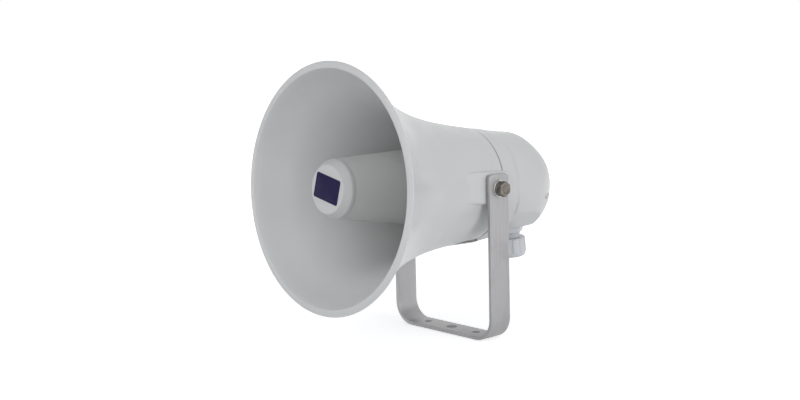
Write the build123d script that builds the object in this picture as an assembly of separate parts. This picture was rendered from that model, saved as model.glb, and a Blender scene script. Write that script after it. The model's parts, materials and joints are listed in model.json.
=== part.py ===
"""Re-entrant PA horn speaker on a U bracket.

Every horn piece is drawn about the horn axis: Y runs from the mouth (negative)
to the back cover (positive), Z is up, and the tilt pivot lies at Y = 0.
place_horn() then leans the horn mouth-up about the pivot and lifts it onto the
bracket, whose underside is Z = 0 with its middle hole at the origin.
"""
from build123d import *
from math import cos, radians, sin, sqrt, tan
import os

# Running clearances, one for each kind of fit
TURN_GAP = 0.06        # radial, pieces that turn on each other
GLUE_GAP = 0.1         # glued or pressed pieces of one body
THREAD_GAP = 0.04      # radial, plain stand-in for a thread

# U bracket, bent from flat strip
STRIP_W = 26.8
STRIP_T = 3.8
STRIP_EDGE_R = 0.6
PIVOT_H = 156.0
LEG_TOP = 14.5
BEND_R = 23.5
LEG_CORNER_R = 5.0
BASE_HOLE_R = 5.8
SIDE_HOLE_R = 3.9
SIDE_HOLE_X = 35.8

# Tilt pivot hardware, metric 8
BOLT_R = 4.0
BOLT_HEAD_AF = 13.0
BOLT_HEAD_H = 5.3
BOLT_END_GAP = 1.0
FLAT_WASHER_R = 8.4
FLAT_WASHER_T = 1.6
SPRING_WASHER_R = 7.2
SPRING_WASHER_T = 2.0
SPACER_T = 1.8
SPACER_R = 10.0
INSERT_R = 6.0
INSERT_LEN = 14.5
INSERT_BOSS_R = 9.0

# Place of the horn on its pivot
TILT = 4.7
AXIS_DROP = 2.54

# Bell: outer radius follows seam_r + slope u + rise (u / len) ** 3
MOUTH_Y = -163.0
SEAM_Y = 19.0
SEAM_R = 59.8
FLARE_SLOPE = 0.09
FLARE_RISE = 46.75
LIP_AHEAD = 2.0
LIP_FROM = 0.85        # share of the flare's length where the wall thickens
LIP_WIDTH = 6.1
LIP_ROUND = 0.9
WALL = 3.0
BULKHEAD_FRONT = -14.0
BULKHEAD_T = 6.0
TURN_R = 9.0
REAR_WALL = 5.2
PAD_PROUD = 6.24       # from the bell at its seam to the face of a side pad
PAD_H = 32.8
PAD_FRONT = -56.0
PAD_REAR = 18.4
BASE_PAD_W = 48.0
BASE_PAD_PROUD = 1.8
BASE_PAD_SLOPE = 0.042
BASE_PAD_FRONT = -17.0

# Seal between bell and back cover
SEAM_GAP = 0.7
SEAL_W = 1.9
SEAL_DEEP = 1.0

# Back cover
BAND_END = 39.0
BAND_R = 58.6
BAND_FULL = 0.7
BODY_Y = 45.0
BODY_R = 57.7
SHOULDER_Y = 70.0
SIDE_DRAFT = 4.0
SHOULDER_ARC_R = 78.0
SHOULDER_ANGLE = 36.0
END_ARC_R = 26.0
LOWER_DROP = 4.0
FLAT_Y = 46.0
FLAT_CUT = 6.3         # from the body's underside up to the flat's front edge
FLAT_HALF = 23.5
FLAT_SLOPE = 9.0
FACET_ANGLE = 42.0
SPIGOT_LEN = 5.5
SPIGOT_T = 1.9

# Cover screws, sunk in deep posts
COVER_SCREW_R = 2.0
COVER_SCREW_AT = 48.0
COVER_SCREW_ANGLES = (-12.0, 55.0, 125.0, 192.0)
COVER_POST_R = 4.0
COVER_RECESS_R = 3.3
COVER_FLOOR = 4.0
COVER_HEAD_R = 3.0
COVER_HEAD_H = 2.6
COVER_SCREW_GRIP = 11.0

# Throat tube and reflector of the folded horn
THROAT_IN_R = 9.2
THROAT_OUT_R = 16.0
THROAT_END = -126.0
THROAT_WALL = 2.2
THROAT_FLANGE_R = 26.0
THROAT_FLANGE_T = 3.0
FIN_T = 2.2
FIN_FRONT = -118.0
FIN_REAR = -44.0
CAP_FRONT = -162.0
CAP_FACE_R = 23.6
CAP_R = 29.2
CAP_BACK = -150.0
CAP_WALL = 2.4
CAP_SPIGOT = 7.0
REFLECTOR_MID_Y = -66.0
REFLECTOR_MID_R = 37.0
REFLECTOR_END = -31.0
REFLECTOR_END_R = 41.0
REFLECTOR_WALL = 2.2
BADGE_W = 35.1
BADGE_H = 23.8
BADGE_T = 0.9
BADGE_SINK = 0.4
BADGE_TURN = -11.5
BADGE_CORNER = 2.0

# Compression driver
DRIVER_R = 43.0
HOUSING_T = 12.0
PLATE_T = 5.0
MAGNET_R = 35.0
MAGNET_HOLE_R = 24.0
MAGNET_T = 15.0
POLE_R = 18.4
COIL_R = 19.0
COIL_T = 0.9
FORMER_T = 0.35
GAP_OUT_R = 20.5
VENT_R = 4.0
DOME_H = 6.0
DOME_T = 0.4
DOME_BASE_LIFT = 1.5
PHASE_GAP = 0.9
PLUG_R = 6.3
PLUG_RING = 0.9
PLUG_TIP = 14.0
PLUG_RIB_T = 1.2
SURROUND_R = 26.0
CLAMP_W = 4.0
DRIVER_SCREW_R = 2.0
DRIVER_SCREW_AT = 39.0
DRIVER_HEAD_R = 3.4
DRIVER_HEAD_H = 2.4
DRIVER_SCREW_BITE = 4.4

# Line transformer and terminal block on their chassis plate
CHASSIS_W = 58.0
CHASSIS_H = 57.5
CHASSIS_T = 1.5
CHASSIS_SCREW_R = 1.5
CHASSIS_SCREW_X = 12.0
CHASSIS_SCREW_DROP = 8.0
CHASSIS_SCREW_BITE = 4.5
CHASSIS_HEAD_R = 2.8
CHASSIS_HEAD_H = 1.9
CORE_W = 42.0
CORE_H = 35.0
CORE_T = 15.0
CORE_WINDOW_W = 7.0
CORE_LEG = 14.0
TRANSFORMER_Z = 13.0
BOBBIN_T = 1.0
WINDING_T = 5.0
STRAP_T = 1.2
STRAP_FOOT = 9.0
STRAP_FOOT_H = 12.0
FOOT_SCREW_R = 1.4
FOOT_HEAD_R = 2.4
FOOT_HEAD_H = 1.8
TERMINAL_W = 32.0
TERMINAL_H = 11.0
TERMINAL_D = 13.0
TERMINAL_Z = -19.5
TERMINAL_PITCH = 10.0
TERMINAL_HOLE_R = 2.2
TERMINAL_SCREW_R = 2.0
WIRE_R = 0.8
WIRE_LIFT = 2.6
WIRE_BEND = 1.2
TAG_W = 4.0
TAG_H = 7.0
TAG_T = 0.8
TAG_Z = 2.0
TAG_OUT = 3.5

# Cable gland under the back cover
GLAND_Y = 93.5
GLAND_THREAD_R = 11.0
GLAND_AF = 27.0
GLAND_FLANGE_T = 6.0
GLAND_BORE_R = 7.6
GLAND_ENTRY = 11.0
GASKET_T = 1.2
NECK_SHOW = 5.0
NUT_R = 16.0
NUT_RIB = 0.9
NUT_RIBS = 12
NUT_LEN = 21.8
NUT_ROUND = 4.5
NUT_MOUTH_R = 8.0
LOCKNUT_AF = 24.0
LOCKNUT_T = 4.5
FINGERS = 12
FINGER_LEN = 7.0
FINGER_WALL = 1.6
FINGER_SLIT = 0.9
INSERT_SEAL_R = 5.2

# Values that follow from the ones above
FLARE_LEN = SEAM_Y - MOUTH_Y
BULKHEAD_REAR = BULKHEAD_FRONT + BULKHEAD_T
REAR_IN_R = SEAM_R - REAR_WALL
PAD_FACE = SEAM_R + PAD_PROUD
BRACKET_W = 2 * (PAD_FACE + TURN_GAP + SPACER_T + STRIP_T)
DRIVER_REAR = BULKHEAD_REAR + HOUSING_T
PLATE_REAR = DRIVER_REAR + PLATE_T
MAGNET_REAR = PLATE_REAR + MAGNET_T
BACK_REAR = MAGNET_REAR + PLATE_T
DOME_BASE = DRIVER_REAR - DOME_BASE_LIFT
CHASSIS_Y = BACK_REAR
CHASSIS_REAR = CHASSIS_Y + CHASSIS_T
COVER_FRONT = SEAM_Y + SEAM_GAP
FLAT_Z = BODY_R - FLAT_CUT
BASE_PAD_R = SEAM_R + BASE_PAD_PROUD
COVER_BEHIND = SHOULDER_Y + SHOULDER_ARC_R


def flare_r(y):
    """Outer radius of the bell at the axial place y."""
    u = SEAM_Y - y
    return SEAM_R + FLARE_SLOPE * u + FLARE_RISE * (u / FLARE_LEN) ** 3


def flare_slope(y):
    """How steeply the bell's radius grows towards the mouth at y."""
    return FLARE_SLOPE + 3 * FLARE_RISE * (SEAM_Y - y) ** 2 / FLARE_LEN ** 3


def flare_in_r(y):
    """Inner radius of the bell: an even wall, thicker towards the lip."""
    plain = flare_r(MOUTH_Y - LIP_AHEAD) - WALL * sqrt(1 + flare_slope(MOUTH_Y) ** 2)
    thicker = plain - flare_r(MOUTH_Y) + LIP_WIDTH
    near = max(0.0, ((SEAM_Y - y) / FLARE_LEN - LIP_FROM) / (1 - LIP_FROM))
    return flare_r(y) - WALL * sqrt(1 + flare_slope(y) ** 2) - thicker * near ** 2


def steps(start, end, count):
    """Evenly spaced values from start to end, both included."""
    return [start + (end - start) * i / count for i in range(count + 1)]


def turned(points):
    """Solid of revolution about Y from (radius, y) corners."""
    return revolve(make_face(Polyline(*points, close=True)), Axis.Y)


def ring(r_in, r_out, y_from, y_to):
    """Plain ring about the Y axis; r_in of zero gives a disc."""
    return turned([(r_in, y_from), (r_out, y_from), (r_out, y_to), (r_in, y_to)])


def rod(radius, start, end):
    """Round rod between two points."""
    line = Vector(*end) - Vector(*start)
    return extrude(Plane(Vector(*start), z_dir=line) * Circle(radius), line.length)


def block(x, y, z):
    """Box given by its (from, to) spans along X, Y and Z."""
    middle = [(a + b) / 2 for a, b in (x, y, z)]
    return Pos(*middle) * Box(*[abs(b - a) for a, b in (x, y, z)])


def hexagon(across, plane, height, turn=0.0):
    """Hexagonal prism standing on a plane."""
    shape = RegularPolygon(across / sqrt(3), 6, rotation=turn)
    return extrude(plane * shape, height)


def spin(angle):
    """Turn about the horn axis; angle zero is +X, 90 is up."""
    return Rot(0, -angle, 0)


def place_horn(shape):
    """From the horn's own frame to the shared frame."""
    return Pos(0, 0, PIVOT_H) * Rot(-TILT, 0, 0) * Pos(0, 0, -AXIS_DROP) * shape


def long_edge(edge):
    """True for a strip edge that runs along the strip, not round a corner."""
    return edge.length > 2 * STRIP_T


def make_bracket():
    """U bracket: two legs with pivot bores and a base with three holes."""
    half = BRACKET_W / 2
    top = PIVOT_H + LEG_TOP
    outer = Pos(0, top / 2) * Rectangle(BRACKET_W, top)
    outer = fillet(outer.vertices().group_by(Axis.Y)[0], BEND_R)
    inner = Pos(0, STRIP_T + top) * Rectangle(BRACKET_W - 2 * STRIP_T, 2 * top)
    inner = fillet(inner.vertices().group_by(Axis.Y)[0], BEND_R - STRIP_T)
    bent = extrude(Plane.XZ * (outer - inner), STRIP_W / 2, both=True)
    side = Pos(0, top / 2) * Rectangle(STRIP_W, top)
    side = fillet(side.vertices().group_by(Axis.Y)[-1], LEG_CORNER_R)
    bent = bent & extrude(Plane.YZ * side, half + 1, both=True)
    bent = fillet(bent.faces().filter_by(Axis.Y).edges().filter_by(long_edge), STRIP_EDGE_R)
    bent -= rod(BOLT_R + TURN_GAP, (-half - 1, 0, PIVOT_H), (half + 1, 0, PIVOT_H))
    bent -= rod(BASE_HOLE_R, (0, 0, -1), (0, 0, STRIP_T + 1))
    for x in (-SIDE_HOLE_X, SIDE_HOLE_X):
        bent -= rod(SIDE_HOLE_R, (x, 0, -1), (x, 0, STRIP_T + 1))
    return bent


def both_sides(shape):
    """The piece and its mirror image on the other leg."""
    return [shape, mirror(shape, Plane.YZ)]


def pivot_plane(x):
    """Plane at x on the pivot axis, facing outwards."""
    return Plane((x, 0, AXIS_DROP), x_dir=(0, 1, 0), z_dir=(1, 0, 0))


def pivot_ring(r_in, r_out, x_from, x_to):
    """Washer on the pivot axis."""
    return extrude(pivot_plane(x_from) * (Circle(r_out) - Circle(r_in)), x_to - x_from)


def washer_stack():
    """Outer places of flat washer, spring washer and bolt head, in that order."""
    face = BRACKET_W / 2 + TURN_GAP
    return face, face + FLAT_WASHER_T, face + FLAT_WASHER_T + SPRING_WASHER_T


def make_bolts():
    """Hexagon bolts screwed through the legs into the horn's side inserts."""
    under = washer_stack()[2]
    head = hexagon(BOLT_HEAD_AF, pivot_plane(under), BOLT_HEAD_H, 30)
    crown = Cone(BOLT_HEAD_AF * 0.72, BOLT_HEAD_AF * 0.46, BOLT_HEAD_H * 1.6)
    crown = crown & Box(99, 99, BOLT_HEAD_H * 1.6)
    head = head & (pivot_plane(under + BOLT_HEAD_H * 0.2) * crown)
    tip_x = PAD_FACE - INSERT_LEN + BOLT_END_GAP
    shank = extrude(pivot_plane(tip_x) * Circle(BOLT_R), under - tip_x)
    tip = shank.faces().sort_by(Axis.X)[0].edges()
    return both_sides(head + chamfer(tip, 0.7))


def make_flat_washers():
    """Flat washers under the spring washers."""
    start, end, _ = washer_stack()
    return both_sides(pivot_ring(BOLT_R + 0.3, FLAT_WASHER_R, start, end))


def make_spring_washers():
    """Split spring washers under the bolt heads."""
    _, start, end = washer_stack()
    whole = pivot_ring(BOLT_R + 0.3, SPRING_WASHER_R, start, end)
    slit = Pos((start + end) / 2, 5.6, AXIS_DROP) * Rot(0, 0, 25) * Box(9, 1.0, 2.0)
    return both_sides(whole - slit.rotate(Axis((0, 0, AXIS_DROP), (1, 0, 0)), 120))


def make_spacers():
    """Plain washers between each leg and the horn's side pad."""
    return both_sides(pivot_ring(BOLT_R + 0.3, SPACER_R, PAD_FACE, PAD_FACE + SPACER_T))


def make_inserts():
    """Threaded brass inserts moulded into the side pads."""
    body = pivot_ring(BOLT_R + THREAD_GAP, INSERT_R, PAD_FACE - INSERT_LEN, PAD_FACE - 0.2)
    middle = PAD_FACE - INSERT_LEN / 2
    groove = pivot_ring(INSERT_R - 0.7, INSERT_R + 1, middle - 1.2, middle + 1.2)
    return both_sides(body - groove)


def bell_outside():
    """Solid of the bell's outer form with its side pads and base pad."""
    rows = steps(SEAM_Y, MOUTH_Y, 14)
    curve = Spline(*[(flare_r(y), y) for y in rows])
    lip = (flare_r(MOUTH_Y) - LIP_WIDTH, MOUTH_Y - LIP_AHEAD)
    path = [curve, Polyline(curve @ 1, lip, (0, lip[1]), (0, SEAM_Y), curve @ 0)]
    face = make_face(path)
    corners = face.vertices().sort_by_distance(tuple(curve @ 1))
    whole = revolve(fillet(corners[0], LIP_ROUND), Axis.Y)
    for side in (-1, 1):
        whole += block((side * REAR_IN_R / 2, side * PAD_FACE), (PAD_FRONT, PAD_REAR),
                       (AXIS_DROP - PAD_H / 2, AXIS_DROP + PAD_H / 2))
    front_r = BASE_PAD_R + BASE_PAD_SLOPE * (SEAM_Y - BASE_PAD_FRONT)
    return whole + base_pad([(SEAM_R - WALL, BASE_PAD_FRONT), (front_r, BASE_PAD_FRONT),
                             (BASE_PAD_R, SEAM_Y), (SEAM_R - WALL, SEAM_Y)])


def base_pad(points):
    """Raised strip along the underside, turned from (radius, y) corners."""
    half = BASE_PAD_W / 2
    return turned(points) & block((-half, half), (BASE_PAD_FRONT, BAND_END), (-2 * SEAM_R, 0))


def horn_cavity():
    """Sound space of the bell, from the lip to the bulkhead."""
    rows = steps(MOUTH_Y - LIP_AHEAD, BULKHEAD_FRONT - TURN_R, 14)
    curve = Spline(*[(flare_in_r(y), y) for y in rows])
    end_r = (curve @ 1).X
    turn = RadiusArc((end_r, rows[-1]), (end_r - TURN_R, BULKHEAD_FRONT), -TURN_R)
    ahead = MOUTH_Y - LIP_AHEAD - 10
    close = Polyline((end_r - TURN_R, BULKHEAD_FRONT), (0, BULKHEAD_FRONT), (0, ahead),
                     ((curve @ 0).X + 12, ahead), curve @ 0)
    return revolve(make_face([curve, turn, close]), Axis.Y)


def at_cover_screws(shape):
    """Copies of a shape drawn at angle zero at every cover screw."""
    return [spin(a) * shape for a in COVER_SCREW_ANGLES]


def at_driver_screws(shape):
    """Copies of a shape drawn at angle zero at every driver screw."""
    return [spin(45 + 90 * i) * shape for i in range(4)]


def seal_span():
    """Inner and outer radius of the seam seal."""
    middle = SEAM_R - REAR_WALL / 2
    return middle - SEAL_W / 2, middle + SEAL_W / 2


def make_bell():
    """Flared bell with bulkhead, side pads, screw posts and seal groove."""
    bell = bell_outside() - horn_cavity()
    bell -= ring(0, REAR_IN_R, BULKHEAD_REAR, SEAM_Y + 1)
    for post in at_cover_screws(rod(COVER_POST_R, (COVER_SCREW_AT, BULKHEAD_REAR - 1, 0),
                                    (COVER_SCREW_AT, SEAM_Y, 0))):
        bell += post
    for boss in both_sides(extrude(pivot_plane(PAD_FACE - INSERT_LEN - 2) * Circle(INSERT_BOSS_R),
                                   INSERT_LEN)):
        bell += boss
    for hole in at_cover_screws(rod(COVER_SCREW_R + THREAD_GAP, (COVER_SCREW_AT, SEAM_Y + 1, 0),
                                    (COVER_SCREW_AT, SEAM_Y - COVER_SCREW_GRIP - 1.5, 0))):
        bell -= hole
    for hole in at_driver_screws(rod(DRIVER_SCREW_R + THREAD_GAP,
                                     (DRIVER_SCREW_AT, BULKHEAD_REAR + 1, 0),
                                     (DRIVER_SCREW_AT, BULKHEAD_REAR - DRIVER_SCREW_BITE - 0.5, 0))):
        bell -= hole
    for socket in both_sides(extrude(pivot_plane(PAD_FACE - INSERT_LEN) * Circle(INSERT_R + GLUE_GAP),
                                     INSERT_LEN + 1)):
        bell -= socket
    bell -= ring(0, throat_r(BULKHEAD_FRONT) + THROAT_WALL + GLUE_GAP, BULKHEAD_FRONT - 1,
                 BULKHEAD_REAR + 1)
    r_in, r_out = seal_span()
    return bell - ring(r_in - GLUE_GAP, r_out + GLUE_GAP, SEAM_Y - SEAL_DEEP, SEAM_Y + 1)


def make_seal():
    """Flat rubber ring squeezed between the bell and the back cover."""
    r_in, r_out = seal_span()
    return ring(r_in, r_out, SEAM_Y - SEAL_DEEP, COVER_FRONT)


def cover_side(inset):
    """Half section of the back cover from seam to rear end, shrunk by inset."""
    lean = radians(SIDE_DRAFT)
    turn = radians(SHOULDER_ANGLE)
    shoulder_r = BODY_R - (SHOULDER_Y - BODY_Y) * tan(lean) - inset * cos(lean)
    shoulder = (shoulder_r, SHOULDER_Y - inset * sin(lean))
    body = (BODY_R - inset, BODY_Y)
    start = Spline((BAND_R + BAND_FULL - inset, COVER_FRONT - inset), (BAND_R - inset, BAND_END),
                   body, shoulder, tangents=[(-0.03, 1), (-sin(lean), cos(lean))])
    bow, end = SHOULDER_ARC_R - inset, END_ARC_R - inset
    corner = (shoulder_r - bow * (cos(lean) - cos(turn)), shoulder[1] + bow * (sin(turn) - sin(lean)))
    pole = (corner[0] - end * cos(turn), corner[1] + end * (1 - sin(turn)))
    arcs = [RadiusArc(shoulder, corner, -bow), RadiusArc(corner, pole, -end)]
    return [start, *arcs, Polyline(pole, (0, pole[1]), (0, COVER_FRONT - inset), start @ 0)]


def flat_wedge(inset):
    """Room above the slanted bottom flat and between the two side facets."""
    rise, slant = radians(FLAT_SLOPE), radians(FACET_ANGLE)
    far = 2 * SEAM_R
    low = -FLAT_Z + inset / cos(slant)
    edge = low + (far - FLAT_HALF) * tan(slant)
    side = make_face(Polyline((-far, edge), (-FLAT_HALF, low), (FLAT_HALF, low), (far, edge), (far, far),
                              (-far, far), close=True))
    facets = extrude(Plane.XZ.offset(-FLAT_Y + inset) * side, -3 * far)
    floor = -FLAT_Z + (inset - inset * sin(rise)) / cos(rise)
    under = make_face(Polyline((FLAT_Y - inset, floor), (FLAT_Y + 3 * far, floor + 3 * far * tan(rise)),
                               (FLAT_Y + 3 * far, far), (FLAT_Y - inset, far), close=True))
    return facets & extrude(Plane.YZ * under, far, both=True)


def lead_in(inset):
    """Cone from the round band out to the fuller body."""
    start, r = FLAT_Y - inset, BODY_R - inset
    return turned([(0, start), (r, start), (r + 2 * LOWER_DROP, start + 2 * LOWER_DROP),
                   (r + 2 * LOWER_DROP, start + 3 * SEAM_R), (0, start + 3 * SEAM_R)])


def cover_form(inset):
    """Cover body: round band in front; behind it fuller below, with flat and facets."""
    half = make_face(cover_side(inset))
    form = revolve(half, Axis.Y)
    far, split = 2 * SEAM_R, FLAT_Y - inset
    front = form & block((-far, far), (-far, split), (-far, far))
    whole = half + mirror(half, Plane.YZ)
    middle = extrude(whole, LOWER_DROP, dir=(0, 0, -1))
    body = form + Pos(0, 0, -LOWER_DROP) * form + middle
    return front + (body & flat_wedge(inset) & lead_in(inset))


def gland_frame():
    """Frame on the cover's bottom flat, Z pointing out along the gland axis."""
    z = -FLAT_Z + (GLAND_Y - FLAT_Y) * tan(radians(FLAT_SLOPE))
    out = (0, sin(radians(FLAT_SLOPE)), -cos(radians(FLAT_SLOPE)))
    return Plane((0, GLAND_Y, z), x_dir=(1, 0, 0), z_dir=out)


def make_cover():
    """Back cover with sunk screw posts, locating spigot and gland hole."""
    outside = cover_form(0) + base_pad([(BAND_R - 1, COVER_FRONT), (BASE_PAD_R, COVER_FRONT),
                                        (BAND_R, BAND_END), (BAND_R - 1, BAND_END)])
    cover = outside - cover_form(WALL)
    spigot_out = REAR_IN_R - GLUE_GAP - 0.1
    cover += ring(spigot_out - SPIGOT_T, spigot_out, SEAM_Y - SPIGOT_LEN, COVER_FRONT + WALL)
    cover += ring(spigot_out - SPIGOT_T, BAND_R - 1, COVER_FRONT, COVER_FRONT + WALL)
    seat = COVER_FRONT + COVER_FLOOR
    front, mid, behind = [(COVER_SCREW_AT, y, 0) for y in (COVER_FRONT, seat, COVER_BEHIND)]
    for post in at_cover_screws(rod(COVER_POST_R + 0.6, front, behind)):
        cover += post & outside
    for recess in at_cover_screws(rod(COVER_RECESS_R, mid, behind)):
        cover -= recess
    for hole in at_cover_screws(rod(COVER_SCREW_R + 0.3, (COVER_SCREW_AT, SEAM_Y, 0), mid)):
        cover -= hole
    return cover - extrude(gland_frame() * Circle(GLAND_THREAD_R + 0.3), 20, both=True)


def make_cover_screws():
    """Pan-head screws at the bottom of the cover's posts."""
    seat = COVER_FRONT + COVER_FLOOR
    r, at = COVER_SCREW_R, COVER_SCREW_AT
    one = rod(r, (at, SEAM_Y - COVER_SCREW_GRIP, 0), (at, seat + 0.5, 0))
    one += chamfer(rod(COVER_HEAD_R, (at, seat, 0), (at, seat + COVER_HEAD_H, 0))
                   .faces().sort_by(Axis.Y)[-1].edges(), 0.7)
    one -= Pos(at, seat + COVER_HEAD_H, 0) * (Box(3.2, 2.4, 0.7) + Box(0.7, 2.4, 3.2))
    return at_cover_screws(one)


def throat_r(y):
    """Bore radius of the throat tube, opening towards its front end."""
    part = (BULKHEAD_REAR - y) / (BULKHEAD_REAR - THROAT_END)
    return THROAT_IN_R + (THROAT_OUT_R - THROAT_IN_R) * part ** 1.4


def reflector_r(y):
    """Outer radius of the reflector tube."""
    if y < REFLECTOR_MID_Y:
        part = (y - CAP_BACK) / (REFLECTOR_MID_Y - CAP_BACK)
        return CAP_R + (REFLECTOR_MID_R - CAP_R) * part
    part = (y - REFLECTOR_MID_Y) / (REFLECTOR_END - REFLECTOR_MID_Y)
    return REFLECTOR_MID_R + (REFLECTOR_END_R - REFLECTOR_MID_R) * part


def make_throat():
    """Throat tube with its flange and the four fins that carry the reflector."""
    rows = steps(BULKHEAD_REAR, THROAT_END, 8)
    inner = Spline(*[(throat_r(y), y) for y in rows])
    outer = Spline(*[(throat_r(y) + THROAT_WALL, y) for y in rows])
    face = make_face([inner, Line(inner @ 1, outer @ 1), outer, Line(outer @ 0, inner @ 0)])
    tube = revolve(face, Axis.Y)
    tube += ring(THROAT_IN_R + 1, THROAT_FLANGE_R, BULKHEAD_FRONT - THROAT_FLANGE_T, BULKHEAD_FRONT)
    return tube + throat_fins()


def throat_fins():
    """Four flat fins between the throat tube and the reflector."""
    edge = [(reflector_r(y) - REFLECTOR_WALL - GLUE_GAP - 0.1, y)
            for y in (FIN_FRONT, REFLECTOR_MID_Y, FIN_REAR)]
    root = [(throat_r(y) + THROAT_WALL / 2, y) for y in (FIN_REAR, FIN_FRONT)]
    face = make_face(Polyline(*edge, *root, close=True))
    fin = extrude(face, FIN_T / 2, both=True)
    fins = fin
    for i in range(1, 4):
        fins += spin(90 * i) * fin
    return spin(45) * fins


def make_reflector():
    """Open reflector tube that folds the sound path back on itself."""
    end = REFLECTOR_WALL
    outer = [(reflector_r(y), y) for y in (CAP_BACK, REFLECTOR_MID_Y, REFLECTOR_END)]
    inner = [(r - end, y) for r, y in reversed(outer)]
    tube = turned(outer + inner)
    lip = tube.faces().sort_by(Axis.Y)[-1].edges()
    return fillet(lip, REFLECTOR_WALL * 0.4)


def make_cap():
    """Front cap of the reflector, a bevelled cup with a shallow badge seat."""
    w = CAP_WALL
    spigot = CAP_R - REFLECTOR_WALL - GLUE_GAP - 0.2
    points = [(0, CAP_FRONT), (CAP_FACE_R, CAP_FRONT), (CAP_R, CAP_BACK - 4.5), (CAP_R, CAP_BACK),
              (spigot, CAP_BACK), (spigot, CAP_BACK + CAP_SPIGOT), (spigot - w, CAP_BACK + CAP_SPIGOT),
              (spigot - w, CAP_BACK - 3), (CAP_FACE_R - w, CAP_FRONT + w), (0, CAP_FRONT + w)]
    face = make_face(Polyline(*points, close=True))
    rim = face.vertices().sort_by_distance((CAP_FACE_R, CAP_FRONT, 0))[0]
    face = fillet(rim, 1.6)
    shoulder = face.vertices().sort_by_distance((CAP_R, CAP_BACK - 4.5, 0))[0]
    cup = revolve(fillet(shoulder, 3.0), Axis.Y)
    return cup - badge_plate(GLUE_GAP, CAP_FRONT - 1, CAP_FRONT + BADGE_SINK)


def badge_plate(grow, y_from, y_to):
    """Rounded plate outline of the badge between two axial places."""
    shape = RectangleRounded(BADGE_W + 2 * grow, BADGE_H + 2 * grow, BADGE_CORNER + grow)
    plane = Plane((0, y_to, 0), x_dir=(1, 0, 0), z_dir=(0, -1, 0))
    return extrude(plane * Rot(0, 0, BADGE_TURN) * shape, y_to - y_from)


def make_badge():
    """Plain badge plate with a softened front edge."""
    front = CAP_FRONT + BADGE_SINK - BADGE_T
    plate = badge_plate(0, front, CAP_FRONT + BADGE_SINK)
    return chamfer(plate.faces().sort_by(Axis.Y)[0].edges(), 0.25)


def dome_ball(offset):
    """Ball whose cap is the diaphragm dome, grown by offset."""
    base = COIL_R + FORMER_T
    ball_r = (base ** 2 + DOME_H ** 2) / (2 * DOME_H)
    return Pos(0, DOME_BASE - DOME_H + ball_r, 0) * Sphere(ball_r + offset)


def make_housing():
    """Front housing of the driver with the dome-shaped chamber wall."""
    body = ring(THROAT_IN_R, DRIVER_R, BULKHEAD_REAR, DRIVER_REAR)
    room = dome_ball(PHASE_GAP) & ring(0, SURROUND_R, BULKHEAD_REAR, DRIVER_REAR)
    body -= room
    body -= ring(0, SURROUND_R + CLAMP_W + GLUE_GAP, DOME_BASE - DOME_T - 1.5, DRIVER_REAR + 1)
    for hole in at_driver_screws(rod(DRIVER_SCREW_R + 0.25, (DRIVER_SCREW_AT, BULKHEAD_REAR - 1, 0),
                                     (DRIVER_SCREW_AT, DRIVER_REAR + 1, 0))):
        body -= hole
    return body


def make_phase_plug():
    """Bullet in the throat with three ribs and a carrying ring."""
    tip = BULKHEAD_REAR - PLUG_TIP
    nose = Spline((0, tip), (PLUG_R * 0.62, tip + 5), (PLUG_R, BULKHEAD_REAR), tangents=[(1, 0.2), (0, 1)])
    close = Polyline(nose @ 1, (PLUG_R, DOME_BASE), (0, DOME_BASE), nose @ 0)
    plug = revolve(make_face([nose, close]), Axis.Y)
    ring_out = THROAT_IN_R - GLUE_GAP
    carrier = ring(ring_out - PLUG_RING, ring_out, BULKHEAD_REAR + 0.2, BULKHEAD_REAR + 3.2)
    rib = block((PLUG_R - 0.5, ring_out - PLUG_RING / 2), (BULKHEAD_REAR + 0.2, BULKHEAD_REAR + 3.2),
                (-PLUG_RIB_T / 2, PLUG_RIB_T / 2))
    for i in range(3):
        carrier += spin(90 + 120 * i) * rib
    return plug + carrier - dome_ball(PHASE_GAP)


def make_diaphragm():
    """Thin dome of the driver, pushed by the voice coil."""
    shell = dome_ball(0) - dome_ball(-DOME_T)
    cap = shell & ring(0, COIL_R + FORMER_T, BULKHEAD_REAR, DOME_BASE)
    return cap + ring(COIL_R, COIL_R + FORMER_T, DOME_BASE - 0.6, PLATE_REAR - 0.5)


def make_coil():
    """Voice-coil winding on the former."""
    start = DRIVER_REAR - 0.5
    inner = COIL_R + FORMER_T
    return ring(inner + 0.02, COIL_R + COIL_T, start, PLATE_REAR - 0.7)


def make_surround():
    """Flexing rolled edge between dome and clamp ring."""
    r_in = COIL_R + FORMER_T + 0.25
    r_out = SURROUND_R + CLAMP_W - 1
    roll_out = SURROUND_R - 0.4
    flat = DOME_BASE
    middle = (r_in + roll_out) / 2
    lower = ThreePointArc((r_in, flat), (middle, flat - 1.6), (roll_out, flat))
    upper = ThreePointArc((r_in, flat + DOME_T), (middle, flat - 1.6 + DOME_T), (roll_out, flat + DOME_T))
    edge = Polyline(lower @ 1, (r_out, flat), (r_out, flat + DOME_T), upper @ 1)
    return revolve(make_face([lower, edge, upper, Line(upper @ 0, lower @ 0)]), Axis.Y)


def make_clamp_ring():
    """Ring that holds the surround against the top plate."""
    r_out = SURROUND_R + CLAMP_W
    return ring(SURROUND_R, r_out, DOME_BASE + DOME_T, DRIVER_REAR)


def make_top_plate():
    """Front pole plate of the magnet system."""
    plate = ring(GAP_OUT_R, DRIVER_R, DRIVER_REAR, PLATE_REAR)
    for hole in at_driver_screws(rod(DRIVER_SCREW_R + 0.25, (DRIVER_SCREW_AT, DRIVER_REAR - 1, 0),
                                     (DRIVER_SCREW_AT, PLATE_REAR + 1, 0))):
        plate -= hole
    return plate


def make_magnet():
    """Ferrite ring magnet."""
    return ring(MAGNET_HOLE_R, MAGNET_R, PLATE_REAR, MAGNET_REAR)


def chassis_screw_spots():
    """Places of the two chassis screws in the back plate."""
    return [(-CHASSIS_SCREW_X, -CHASSIS_SCREW_DROP), (CHASSIS_SCREW_X, -CHASSIS_SCREW_DROP)]


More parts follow.
